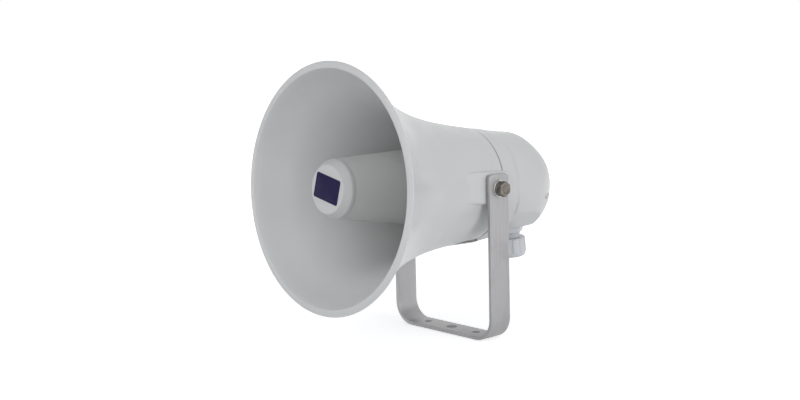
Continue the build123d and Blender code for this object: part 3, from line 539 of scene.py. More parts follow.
@dataclass(frozen=True)
class Finish:
    """Colour and surface of one material.

    Attributes:
        name: material name.
        colour: linear RGB.
        texture: kind of surface.
        rough: middle roughness.
        metal: metallic amount.
        shift: how much the colour drifts from place to place.
        coat: clear coat weight.
        gloss: strength of the plain reflection.
    """

    name: str
    colour: tuple[float, float, float]
    texture: Texture = Texture.MOULDED
    rough: float = 0.4
    metal: float = 0.0
    shift: float = 0.06
    coat: float = 0.0
    gloss: float = 0.5

    def shade(self, amount: float) -> tuple[float, ...]:
        """Colour made lighter or darker by a factor."""
        return tuple(min(1.0, c * amount) for c in self.colour)

    def build(self) -> bpy.types.Material:
        """Makes the procedural material.

        Returns:
            The new material.
        """
        bench = NodeBench(bpy.data.materials.new(self.name))
        makers = {Texture.MOULDED: self.moulded, Texture.ROLLED: self.rolled,
                  Texture.TURNED: self.turned, Texture.RUBBER: self.rubber}
        tone, rough, normal = makers[self.texture](bench)
        return bench.wire({"Metallic": self.metal, "Specular IOR Level": self.gloss,
                           "Coat Weight": self.coat, "Coat Roughness": 0.12,
                           "Base Color": tone, "Roughness": rough, "Normal": normal})

    def between(self, bench: NodeBench, value: Socket, span: tuple[float, float],
                dark: float, light: float) -> Socket:
        """Colour that goes from a dark to a light shade over a value's span."""
        return bench.mix(bench.ramp(value, *span), self.shade(dark), self.shade(light))

    def over(self, bench: NodeBench, tone: Socket, value: Socket, span: tuple[float, float],
             most: float, amount: float) -> Socket:
        """Tone with a shade laid over it, up to a share of most, where a value is high."""
        return bench.mix(bench.ramp(value, *span, 0.0, most), tone, self.shade(amount))

    def polish(self, bench: NodeBench, value: Socket, span: tuple[float, float],
               low: float, high: float) -> Socket:
        """Roughness that goes between two factors of the middle one over a value's span."""
        return bench.ramp(value, *span, self.rough * low, self.rough * high)

    def moulded(self, bench: NodeBench) -> tuple[Socket, Socket, Socket]:
        """Moulded plastic: cloudy tone, sparse dust dots, fine orange peel, and painted shade where
        the mesh is marked for it.

        Args:
            bench: the material's nodes.

        Returns:
            Colour, roughness and normal for the shader.
        """
        tone = self.between(bench, bench.noise(9.0, 3.0, 0.55), (0.35, 0.65),
                            1 - self.shift, 1 + self.shift * 0.5)
        tone = bench.mix(bench.dots(60.0, 0.02, 0.5), tone, self.shade(0.6))
        # Painted shade: darkens the colour where mark() stored shade, in joint gaps, the cover's
        # step and on the shaded cap.
        tone = self.over(bench, tone, bench.mark("painted_shade"), (0.0, 1.0), 0.85, 0.12)
        rough = self.polish(bench, bench.noise(60.0, 6.0, 0.65), (0.3, 0.7), 0.82, 1.2)
        return tone, rough, bench.bump(bench.noise(700.0, 1.0, 0.4), 0.00002, 0.2)

    def rolled(self, bench: NodeBench) -> tuple[Socket, Socket, Socket]:
        """Rolled strip: long grain, cloudy stains, nicks and scratches, and painted light where
        marked.

        Args:
            bench: the material's nodes.

        Returns:
            Colour, roughness and normal for the shader.
        """
        grain = bench.noise(900.0, 4.0, 0.6, (0.05, 1.0, 0.03))
        stain = bench.noise(28.0, 5.0, 0.65)
        nick = bench.noise(210.0, 6.0, 0.75, (1.0, 1.0, 0.45))
        scratch = bench.noise(520.0, 2.0, 0.4, (1.0, 1.0, 0.04))
        tone = self.between(bench, grain, (0.3, 0.7), 0.94, 1.04)
        tone = self.over(bench, tone, stain, (0.5, 0.75), 0.4, 0.62)
        tone = self.over(bench, tone, nick, (0.65, 0.73), 0.5, 0.4)
        # Painted light: paler where mark() stored light, on the parts of the strip that the near
        # leg and horn shade.
        tone = self.over(bench, tone, bench.mark("painted_light"), (0.0, 1.0), 0.5, 1.7)
        rough = self.polish(bench, scratch, (0.4, 0.66), 0.85, 1.25)
        return tone, rough, bench.bump(nick, 0.0001, 0.15, bench.bump(grain, 0.00004, 0.35))

    def turned(self, bench: NodeBench) -> tuple[Socket, Socket, Socket]:
        """Machined or plated metal: mottled film and fine tool marks.

        Args:
            bench: the material's nodes.

        Returns:
            Colour, roughness and normal for the shader.
        """
        mottle = bench.noise(160.0, 5.0, 0.65)
        tone = self.between(bench, mottle, (0.35, 0.68), 0.7, 1.2)
        rough = self.polish(bench, mottle, (0.3, 0.7), 1.3, 0.75)
        return tone, rough, bench.bump(bench.noise(1400.0, 2.0, 0.5), 0.00003, 0.3)

    def rubber(self, bench: NodeBench) -> tuple[Socket, Socket, Socket]:
        """Matte rubber or fabric tape: soft mottling and a fine grain.

        Args:
            bench: the material's nodes.

        Returns:
            Colour, roughness and normal for the shader.
        """
        mottle = bench.noise(220.0, 4.0, 0.6)
        tone = self.between(bench, mottle, (0.3, 0.7), 0.75, 1.25)
        rough = self.polish(bench, mottle, (0.3, 0.7), 0.9, 1.15)
        return tone, rough, bench.bump(bench.noise(1600.0, 2.0, 0.5), 0.00008, 0.4)


class Workshop:
    """Keeps one material per finish and dresses pieces with it."""

    FINISHES: tuple[Finish, ...] = (
        Finish("grey_abs", (0.60, 0.603, 0.605), Texture.MOULDED, 0.36, coat=0.12, shift=0.03),
        Finish("reflector_abs", (0.52, 0.527, 0.52), Texture.MOULDED, 0.42, shift=0.04),
        Finish("navy_plate", (0.0095, 0.008, 0.048), Texture.MOULDED, 0.5, shift=0.05, gloss=0.12),
        Finish("bracket_steel", (0.39, 0.385, 0.392), Texture.ROLLED, 0.46, metal=0.4),
        Finish("bolt_steel", (0.165, 0.152, 0.13), Texture.TURNED, 0.2, metal=0.95),
        Finish("plated_steel", (0.5, 0.5, 0.47), Texture.TURNED, 0.34, metal=0.9),
        Finish("core_steel", (0.16, 0.16, 0.17), Texture.TURNED, 0.45, metal=0.7),
        Finish("ferrite", (0.05, 0.05, 0.055), Texture.RUBBER, 0.6),
        Finish("brass", (0.62, 0.44, 0.18), Texture.TURNED, 0.3, metal=0.95),
        Finish("copper", (0.6, 0.25, 0.11), Texture.TURNED, 0.32, metal=0.9),
        Finish("dome_alloy", (0.68, 0.68, 0.7), Texture.TURNED, 0.35, metal=0.9),
        Finish("black_plastic", (0.028, 0.028, 0.03), Texture.MOULDED, 0.5),
        Finish("black_rubber", (0.02, 0.02, 0.022), Texture.RUBBER, 0.75),
        Finish("gland_nylon", (0.62, 0.635, 0.66), Texture.MOULDED, 0.34, shift=0.03),
        Finish("winding_tape", (0.5, 0.36, 0.08), Texture.RUBBER, 0.5),
        Finish("terminal_white", (0.7, 0.7, 0.66), Texture.MOULDED, 0.45),
        Finish("wire_red", (0.42, 0.03, 0.02), Texture.MOULDED, 0.45),
        Finish("wire_black", (0.02, 0.02, 0.02), Texture.MOULDED, 0.45),
    )

    def __init__(self, frame: dict) -> None:
        """Builds every finish and notes the record's slots.
        """
        self.frame = frame
        self.replaced: set[str] = set()
        self.materials = {finish.name: finish.build() for finish in self.FINISHES}
        self.slots = {part["node"]: part["material_slot"] for part in frame["record"]["subparts"]}

    def dress(self, obj: Object, finish: str) -> None:
        """Gives an object a single material."""
        obj.data.materials.clear()
        obj.data.materials.append(self.materials[finish])

    def fit(self, obj: Object, body: str, finish: str, *nodes: str) -> Object:
        """Dresses a new piece, rides it on its body and lets it stand for nodes.

        Args:
            obj: the new piece.
            body: CAD body that it moves with.
            finish: material and record slot.
            nodes: CAD nodes that it replaces.

        Returns:
            The same object.
        """
        self.dress(obj, finish)
        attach(obj, body)
        if nodes:
            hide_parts(*nodes)
            self.replaced.update(nodes)
        LOG.info("%s: %d faces on %s", obj.name, len(obj.data.polygons), body)
        return obj

    def dress_cad(self) -> None:
        """Gives every CAD node its own procedural material and shades those that stay."""
        for name, obj in self.frame["nodes"].items():
            self.dress(obj, self.slots[name])
            if name not in self.replaced:
                shade(obj.data, 30.0)
                LOG.info("%s: kept from the model", name)


# Sub-assemblies


@dataclass(frozen=True)
class BaseStrip:
    """Straight-sided strip that runs under bell and cover.

    Attributes:
        half: half its width.
        radius: its distance from the horn axis at the seam.
    """

    half: float = 24.0
    radius: float = 61.6

    def edges(self) -> list[tuple[float, float, float]]:
        """Stretches for angles() that follow both of its edges."""
        foot = math.degrees(math.asin(self.half / self.radius))
        return [(mid - 0.3, mid + 0.3, 0.1) for mid in (-90 - foot, -90 + foot)]

    def radii(self, turn: Array, strip: Array, there: Array) -> Array:
        """Table of radii: the strip's where it is, under the horn, and zero elsewhere.

        Args:
            turn: n angles.
            strip: (m,) radius of the strip for every y.
            there: (m,) whether the strip is there at that y.

        Returns:
            Array (n, m).
        """
        under = (np.sin(turn) < 0) & (np.abs(np.cos(turn)) * self.radius < self.half)
        return np.where(under[:, None] & there[None], strip[None], 0.0)


STRIP = BaseStrip()


def painted_seam_shade(points: Array, seam: float) -> Array:
    """Painted shade of a joint's gap at y = seam: a dark line, wider towards the underside, where
    the gap lies deeper in shadow.

    Args:
        points: (n, 3) array in the horn frame.
        seam: where the joint lies.

    Returns:
        Array (n,), one and more in the line's middle.
    """
    core, wider, depth, fade = 2.0, 1.6, 50.0, 0.6
    low = wider * np.clip(-points[:, 2] / depth, 0.0, 1.0)
    return core + low - np.abs(points[:, 1] - seam) / fade


@dataclass
class Bell:
    """Flared bell with its lip, side pads and base pad."""

    mouth: float = -163.0
    seam: float = 19.0
    seam_r: float = 59.8
    seam_ease: float = 0.35
    slope: float = 0.09
    rise: float = 46.75
    lip_ahead: float = 2.0
    lip_width: float = 6.8
    lip_from: float = 0.85
    rim_ease: float = 0.48
    wall: float = 3.0
    bulkhead: tuple[float, float] = (-14.0, -8.0)
    turn_r: float = 9.0
    rear_wall: float = 5.2
    pad_proud: float = 6.24
    pad_half: float = 16.4
    pad_rear: float = 18.4
    pad_edges: tuple[float, float] = (17.2, -13.2)
    pad_soft: tuple[float, float] = (0.9, 0.12)
    base_slope: float = 0.042
    base_front: float = -17.0
    hole_r: float = 11.6

    def steep(self, y: Array) -> Array:
        """Slope of the outer radius towards the mouth: slope + 3 rise u^2 / length^3."""
        return self.slope + 3 * self.rise * (self.seam - y) ** 2 / (self.seam - self.mouth) ** 3

    def outer(self, y: Array) -> Array:
        """Outer radius: seam_r + slope u + rise (u / length)^3, u from the seam."""
        u = self.seam - y
        return self.seam_r + self.slope * u + self.rise * (u / (self.seam - self.mouth)) ** 3

    def inner(self, y: Array) -> Array:
        """Inner radius: the outer less an even wall, thicker towards the lip.

        Args:
            y: (m,) places along the horn axis.

        Returns:
            Radius for every y.
        """
        edge = self.outer(self.mouth - self.lip_ahead)
        plain = edge - self.wall * np.sqrt(1 + self.steep(self.mouth) ** 2)
        thicker = plain - self.outer(self.mouth) + self.lip_width
        share = (self.seam - y) / (self.seam - self.mouth)
        near = np.maximum(0.0, (share - self.lip_from) / (1 - self.lip_from))
        return self.outer(y) - self.wall * np.sqrt(1 + self.steep(y) ** 2) - thicker * near ** 2

    def side_pad(self, turn: Array, y: Array) -> Array:
        """Distance along each ray to the flat side pads, for every y.

        The pad is the slab |x| < face with z between its edges, so a ray at
        angle a meets it at min(face / |cos a|, edge / |sin a|), softened more
        and more towards the mouth.

        Args:
            turn: n angles.
            y: (m,) places along the horn axis.

        Returns:
            Array (n, m), zero behind the pad's rear edge.
        """
        up, down = self.pad_half + HORN.axis_drop, self.pad_half - HORN.axis_drop
        s, c = np.sin(turn), np.abs(np.cos(turn))
        edge = np.minimum(np.where(s > 0, up, down) / np.maximum(np.abs(s), TINY), FAR)
        face = (self.seam_r + self.pad_proud) / np.maximum(c, TINY)
        blend = self.pad_soft[0] + self.pad_soft[1] * np.clip(8.0 - y, 0.0, 40.0)
        reach = soft_min(face[:, None], edge[:, None], blend[None])
        return np.where(y < self.pad_rear, 1.0, 0.0)[None] * reach

    def skin(self, turn: Array, y: Array) -> Array:
        """Table of outer radii: the flare, or a pad where that reaches further.

        Args:
            turn: n angles.
            y: (m,) places along the horn axis.

        Returns:
            Array (n, m).
        """
        base = STRIP.radius + self.base_slope * (self.seam - y)
        pads = np.maximum(self.side_pad(turn, y), STRIP.radii(turn, base, y > self.base_front))
        return np.maximum(self.outer(y)[None], pads)

    def lip(self) -> Array:
        """Rounded lip (radius, y): outer corner, a shallow bead line and the inner corner.

        Returns:
            Array (k, 2) from the outside to the inside.
        """
        mouth = self.mouth
        rim = self.outer(mouth) - self.rim_ease
        corners = [(self.outer(mouth + 1.2), mouth + 1.2, 0), (rim, mouth, 1.1),
                   (rim - 1.5, mouth - 0.45, 0.3), (rim - 1.8, mouth - 0.25, 0.2),
                   (rim - 2.2, mouth - 0.7, 0.3),
                   (rim - self.lip_width, mouth - self.lip_ahead, 1.6),
                   (self.inner(mouth + 3), mouth + 3, 0)]
        return soften(corners, closed=False)[1:-1]

    def inside(self) -> Array:
        """Profile (radius, y) from the lip down the flare, round the bulkhead to the seam.

        Returns:
            Array (k, 2).
        """
        y = np.linspace(self.mouth + 3, self.bulkhead[0] - self.turn_r, 70)
        t = np.linspace(0, QUARTER, 9)[1:]
        wall = self.inner(y)
        corner = np.stack([wall[-1] - self.turn_r * (1 - np.cos(t)),
                           y[-1] + self.turn_r * np.sin(t)], axis=1)
        room_r = self.seam_r - self.rear_wall
        tail = [(self.hole_r, self.bulkhead[0]), (self.hole_r, self.bulkhead[1]),
                (room_r, self.bulkhead[1]), (room_r, self.seam)]
        return np.concatenate([self.lip(), np.stack([wall, y], axis=1), corner, tail])

    def painted_shade(self, points: Array) -> Array:
        """Painted shade: a dark line at the seam and beside the base pad, where the gaps of the
        joints lie in shadow.

        Args:
            points: (n, 3) array in the horn frame.

        Returns:
            Array (n,).
        """
        beside = 1.5 - np.abs(np.abs(points[:, 0]) - STRIP.half) / 0.5
        low = (points[:, 2] < -50) & (points[:, 1] > self.base_front + 3)
        return np.maximum(painted_seam_shade(points, self.seam + 0.2), np.where(low, beside, 0.0))

    def build(self, shop: Workshop) -> None:
        """Makes the bell as one closed surface, inside and outside.

        Angles and rows crowd where the skin steps: at the pads' edges, at the
        seam, behind the pads and at the base pad's front.

        Args:
            shop: dresses and places the piece.
        """
        pads = [(side + edge - 2.2, side + edge + 2.2, 0.18)
                for side in (0, 180) for edge in self.pad_edges]
        turn = angles(180, pads + STRIP.edges())
        y = np.concatenate([
            [self.seam, self.seam - 0.25, self.pad_rear + 0.05, self.pad_rear],
            [self.seam - 1.2, self.seam - 2.2, self.seam - 5.0],
            np.linspace(8, self.base_front + 4, 12),
            [self.base_front + 0.02, self.base_front - 0.02],
            np.linspace(self.base_front - 4, self.mouth + 1.2, 80)])
        skin = self.skin(turn, y)
        skin[:, 0] -= self.seam_ease
        inside = self.inside()
        radius = np.concatenate([skin, columns(inside[:, 0], turn)], axis=1)
        points = around(radius, np.concatenate([y, inside[:, 1]]), turn)
        bell = horn_piece("bell_shell", points, True, 30.0)
        # Painted shade in the joint gaps, stored for the finish.
        mark(bell, "painted_shade", self.painted_shade)
        shop.fit(bell, "horn", "grey_abs", "bell")


@dataclass
class BackCover:
    """Rounded back cover with bottom flat, side facets and sunk screws."""

    front: float = 19.7
    front_ease: float = 0.3
    band_end: float = 39.0
    band_r: float = 58.6
    band_full: float = 0.7
    step_y: float = 42.5
    crown: float = 1.6
    crown_y: float = 85.0
    crown_width: float = 9.0
    body: tuple[float, float] = (45.0, 57.7)
    shoulder_y: float = 70.0
    draft: float = 4.0
    shoulder_r: float = 78.0
    shoulder_turn: float = 36.0
    end_r: float = 26.0
    drop: float = 4.0
    flat_y: float = 46.0
    flat_cut: float = 6.3
    flat_half: float = 23.5
    flat_slope: float = 9.0
    facet: float = 37.0
    facet_z: float = 48.0
    facet_rise: float = 3.5
    wall: float = 3.0
    screw_at: float = 48.0
    screw_angles: tuple[float, ...] = (-12.0, 55.0, 125.0, 192.0)
    recess_r: float = 3.3
    post_r: float = 4.6
    floor: float = 4.0
    side_rows: int = 60

    @property
    def flat_z(self) -> float:
        """Depth of the bottom flat's front edge below the horn axis."""
        return self.body[1] - self.flat_cut

    def side(self, inset: float) -> Array:
        """Profile (radius, y) of the round form, shrunk by an inset.

        A smooth line over band, soft step and side; then the shoulder arc
        r = r0 - R (cos a0 - cos a), y = y0 + R (sin a - sin a0) and the end arc
        in the same way, up to 90 degrees.

        Args:
            inset: how far inside the outer surface it runs.

        Returns:
            Array (m, 2) from the front edge to the rear end.
        """
        lean, turn = math.radians(self.draft), math.radians(self.shoulder_turn)
        body_y, body_r = self.body
        end_r = body_r - (self.shoulder_y - body_y) * math.tan(lean)
        knots = ((self.front, self.band_r + self.band_full),
                 ((self.front + self.band_end) / 2, self.band_r + self.band_full / 2),
                 (self.band_end + 1.0, self.band_r - 0.05), (body_y - 0.5, body_r + 0.05),
                 ((body_y + self.shoulder_y) / 2, (body_r + end_r) / 2), (self.shoulder_y, end_r))
        y = np.linspace(self.front, self.shoulder_y, self.side_rows)
        rows = [np.stack([smooth_line(knots, y) - inset * math.cos(lean),
                          y - inset * math.sin(lean)], axis=1)]
        for radius, start, stop, count in ((self.shoulder_r, lean, turn, 24),
                                           (self.end_r, turn, QUARTER, 18)):
            a = np.linspace(start, stop, count + 1)[1:]
            last, bow = rows[-1][-1], radius - inset
            rows.append(np.stack([last[0] - bow * (math.cos(start) - np.cos(a)),
                                  last[1] + bow * (np.sin(a) - math.sin(start))], axis=1))
        return np.concatenate(rows)

    def fuller(self, turn: Array, radius: Array) -> Array:
        """Distance along each ray to the body, which hangs lower than it is round.

        Above the axis it is the circle R. Below, the same circle sits drop
        lower with straight sides between, so a ray meets the side at
        R / |cos a| or the circle at d sin a + sqrt(R^2 - d^2 cos^2 a).

        Args:
            turn: n angles.
            radius: (1, m) radius R of the round form.

        Returns:
            Array (n, m).
        """
        down, c = np.maximum(-np.sin(turn), 0.0)[:, None], np.abs(np.cos(turn))[:, None]
        ball = self.drop * down + np.sqrt(np.maximum(radius ** 2 - (self.drop * c) ** 2, 0.0))
        side = np.where(radius * down <= self.drop * c, radius / np.maximum(c, TINY), ball)
        return np.where(down <= 0, radius, side)

    def flats(self, turn: Array, y: Array, inset: float) -> Array:
        """Distance along each ray to the bottom flat and the two facets.

        The flat is z = -flat_z + (y - flat_y) tan(slope); a facet is
        z = -facet_z + (|x| - flat_half) tan(facet) + (y - flat_y) tan(rise).

        Args:
            turn: n angles.
            y: (m,) places along the horn axis.
            inset: how far inside the outer surface they lie.

        Returns:
            Array (n, m).
        """
        slope, lean = math.radians(self.flat_slope), math.radians(self.facet)
        s, c, past = np.sin(turn)[:, None], np.abs(np.cos(turn))[:, None], y - self.flat_y
        floor = -self.flat_z + past * math.tan(slope) + inset / math.cos(slope)
        flat = np.where(s < 0, floor[None] / np.minimum(s, -TINY), FAR)
        start = (-self.facet_z + inset / math.cos(lean)
                 + past * math.tan(math.radians(self.facet_rise)))
        fall, least = c * math.tan(lean) - s, 0.05
        reach = (self.flat_half * math.tan(lean) - start[None]) / np.maximum(fall, least)
        facet = np.where(fall > least, reach, FAR)
        return soft_min(np.minimum(flat, FAR), np.minimum(facet, FAR), 0.3)

    def table(self, turn: Array, rows: Array, inset: float) -> Array:
        """Radii of the cover for every ray and profile row: band in front, body behind.

        The body's upper side is fuller by
        crown exp(-((y - crown_y) / crown_width)^2) sin^2 a.

        Args:
            turn: n angles.
            rows: (m, 2) profile from side().
            inset: how far inside the outer surface it lies.

        Returns:
            Array (n, m).
        """
        radius, y = rows[None, :, 0], rows[:, 1]
        split = self.flat_y - inset
        cone = (self.body[1] - inset + np.maximum(y - split, 0.0))[None]
        hump = self.crown * np.exp(-((y - self.crown_y) / self.crown_width) ** 2)
        full = self.fuller(turn, radius) + np.maximum(np.sin(turn), 0.0)[:, None] ** 2 * hump[None]
        body = np.minimum(np.minimum(full, cone), self.flats(turn, y, inset))
        return np.where((y > split)[None], body, np.broadcast_to(radius, body.shape))

    def skin(self, turn: Array, inset: float) -> tuple[Array, Array]:
        """Radii and axial places from the front edge to the closed rear end.

        Args:
            turn: angles round the axis.
            inset: wall thickness for the inside, zero for the outside.

        Returns:
            Table (n, m) of radii and array (m,) of y; the last rows shrink the
            flat rear end to its middle.
        """
        rows = self.side(inset)
        split = self.flat_y - inset
        front = rows[:self.side_rows]
        near = int(np.searchsorted(front[:, 1], split))
        step = [(np.interp(y, front[:, 1], front[:, 0]), y) for y in (split - 0.01, split + 0.01)]
        rows = np.concatenate([rows[:near], step, rows[near:]])
        radii, y = self.table(turn, rows, inset), rows[:, 1]
        if inset == 0:
            base = np.interp(y, [self.front, self.band_end], [STRIP.radius, self.band_r])
            radii = np.maximum(radii, STRIP.radii(turn, base, y < self.band_end))
        end = radii[:, -1:] * np.array([[0.75, 0.4, 0.0]])
        return np.concatenate([radii, end], axis=1), np.concatenate([y, np.full(3, y[-1])])

    def painted_shade(self, points: Array) -> Array:
        """Painted shade: a dark line in the joint to the bell and a faint shade in the step behind
        the band.
        """
        # Painted shade in the soft step behind the band.
        step = 0.08 * np.exp(-((points[:, 1] - self.step_y) / 2.6) ** 2)
        return np.maximum(painted_seam_shade(points, self.front - 0.2), step)

    def build(self, shop: Workshop) -> None:
        """Makes the cover shell with its screw recesses, and the sunk posts.

        Args:
            shop: dresses and places the pieces.
        """
        turn = angles(150, [(-78, -14, 0.6), (194, 258, 0.6), *STRIP.edges()])
        outside, y_out = self.skin(turn, 0.0)
        inside, y_in = self.skin(turn, self.wall)
        outside[:, 0] -= self.front_ease
        inside, y_in = inside[:, ::-2], y_in[::-2].copy()
        y_in[-1] = self.front
        points = around(np.concatenate([outside, inside], axis=1),
                        np.concatenate([y_out, y_in]), turn)
        shell = horn_piece("cover_shell", points, True, 28.0)
        for angle in self.screw_angles:
            cut(shell, self.recess(angle), 28.0)
        # Painted shade in the joint and the step, stored for the finish.
        mark(shell, "painted_shade", self.painted_shade)
        shop.fit(shell, "horn", "grey_abs", "rear_cover")
        for i, angle in enumerate(self.screw_angles):
            shop.fit(self.post(angle, f"cover_post_{i + 1}"), "horn", "grey_abs")

    def rod(self, corners: Sequence[tuple[float, float]], angle: float) -> Array:
        """Grid round a screw's axis, which runs along the horn axis beside it.

        Args:
            corners: (radius, y) profile.
            angle: degrees round the horn axis.

        Returns:
            Array (48, m, 3).
        """
        at, (radius, y) = math.radians(angle), np.array(corners, float).T
        place = np.array([self.screw_at * math.cos(at), 0.0, self.screw_at * math.sin(at)])
        return around(radius, y, angles(48)) + place

    def recess(self, angle: float) -> Object:
        """Rod that cuts a screw's recess through the shell.

        Args:
            angle: degrees round the horn axis.

        Returns:
            The closed rod.
        """
        low, far = self.front + self.floor, 140.0
        shape = [(0, low), (self.recess_r, low), (self.recess_r, far), (0, far)]
        return horn_piece("drill", self.rod(shape, angle), False, 40.0)

    def post(self, angle: float, name: str) -> Object:
        """Hollow screw post whose rear end follows the middle of the shell's wall.

        Its end at a point rho from the horn axis lies at the y where the half
        section, shrunk by half the wall, has the radius rho.

        Args:
            angle: degrees round the horn axis.
            name: name of the piece.

        Returns:
            The new piece.
        """
        start, low = self.front + 1.0, self.front + self.floor
        points = self.rod([(0, start), (self.post_r, start), (self.post_r, start),
                           (self.recess_r, low), (self.recess_r, low), (0, low)], angle)
        rows = self.side(self.wall / 2)[::-1]
        rho = np.hypot(points[:, 2:4, 0], points[:, 2:4, 2])
        points[:, 2:4, 1] = np.interp(rho, rows[:, 0], rows[:, 1])
        return horn_piece(name, points, False, 40.0)


@dataclass
class SoundFold:
    """Reflector tube, its bevelled cap and the badge plate."""

    cap_front: float = -162.0
    cap_face_r: float = 23.6
    cap_r: float = 29.2
    cap_back: float = -150.0
    cap_edge: float = 4.5
    cap_wall: float = 2.4
    spigot: float = 7.0
    mid: tuple[float, float] = (37.0, -66.0)
    end: tuple[float, float] = (41.0, -31.0)
    wall: float = 2.2
    badge: tuple[float, float, float] = (35.9, 24.5, 0.9)
    badge_rise: float = 0.7
    badge_sink: float = 0.4
    badge_turn: float = -11.5
    badge_corner: float = 2.0

    def tube(self) -> Object:
        """Reflector tube: two straight tapers with a rolled rear edge.

        Returns:
            The new piece.
        """
        w, front = self.wall, self.cap_back + 0.25
        outline = soften([(self.cap_r, front, 0.4), (*self.mid, 20.0), (*self.end, 1.0),
                          (self.end[0] - w, self.end[1], 1.0), (self.mid[0] - w, self.mid[1], 20.0),
                          (self.cap_r - w, front, 0)], bits=8)
        return horn_piece("reflector_tube", around(*outline.T, angles(160)), True)

    def cap(self) -> Object:
        """Reflector cap: flat face, wide bevel and a short straight edge.

        Returns:
            The new piece.
        """
        w, back = self.cap_wall, self.cap_back
        inner = self.cap_r - self.wall - 0.3
        outline = soften([(0, self.cap_front, 0), (self.cap_face_r, self.cap_front, 0.9),
                          (self.cap_r, back - self.cap_edge, 1.6), (self.cap_r, back, 0.4),
                          (inner, back, 0.1), (inner, back + self.spigot, 0.4),
                          (inner - w, back + self.spigot, 0.4), (inner - w, back - 3, 2.0),
                          (self.cap_face_r - w, self.cap_front + w, 1.0),
                          (0, self.cap_front + w, 0)], closed=False, bits=8)
        return horn_piece("reflector_front_cap", around(*outline.T, angles(160)), False)

    def painted_shade(self, points: Array) -> Array:
        """Painted shade on the cap where the bell's rim shades it: a little on its face, more on
        its bevel.
        """
        return np.where(np.hypot(points[:, 0], points[:, 2]) > self.cap_face_r - 0.3, 0.2, 0.1)

    def plate(self) -> Object:
        """Badge plate: rounded rectangle with a softened edge and shallow raised border.

        Rows run outwards: point = share of the outline's radius at each angle,
        with the front set back near the edge.

        Returns:
            The new piece.
        """
        turn, r = angles(240), self.badge_corner
        half, thick = np.array(self.badge[:2]) / 2, self.badge[2]
        ray = np.abs(np.stack([np.cos(turn), np.sin(turn)]))
        box = (half[:, None] / np.maximum(ray, TINY)).min(axis=0)
        mid = half - r
        along = mid @ ray
        arc = along + np.sqrt(np.maximum(along ** 2 - (mid ** 2).sum() + r ** 2, 0.0))
        outline = np.where((box * ray > mid[:, None]).all(axis=0), arc, box)
        share, back = np.array([
            (0.0, 0.0), (0.88, 0.0), (0.895, 0.06), (0.93, 0.06), (0.945, 0.0), (0.985, 0.0),
            (0.997, 0.06), (1.0, 0.22), (1.0, thick), (0.0, thick)]).T
        radius = outline[:, None] * share
        front = self.cap_front + self.badge_sink - thick
        points = around(radius, front + back, turn + math.radians(self.badge_turn))
        return horn_piece("badge", points + np.array([0.0, 0.0, self.badge_rise]), False, 25.0)

    def build(self, shop: Workshop) -> None:
        """Makes tube, cap and badge.

        Args:
            shop: dresses and places the pieces.
        """
        shop.fit(self.tube(), "horn", "reflector_abs", "reflector")
        cap = self.cap()
        # Painted shade on the cap's face and bevel, stored for the finish.
        mark(cap, "painted_shade", self.painted_shade)
        shop.fit(cap, "horn", "grey_abs", "reflector_cap")
        shop.fit(self.plate(), "horn", "navy_plate", "badge_plate")


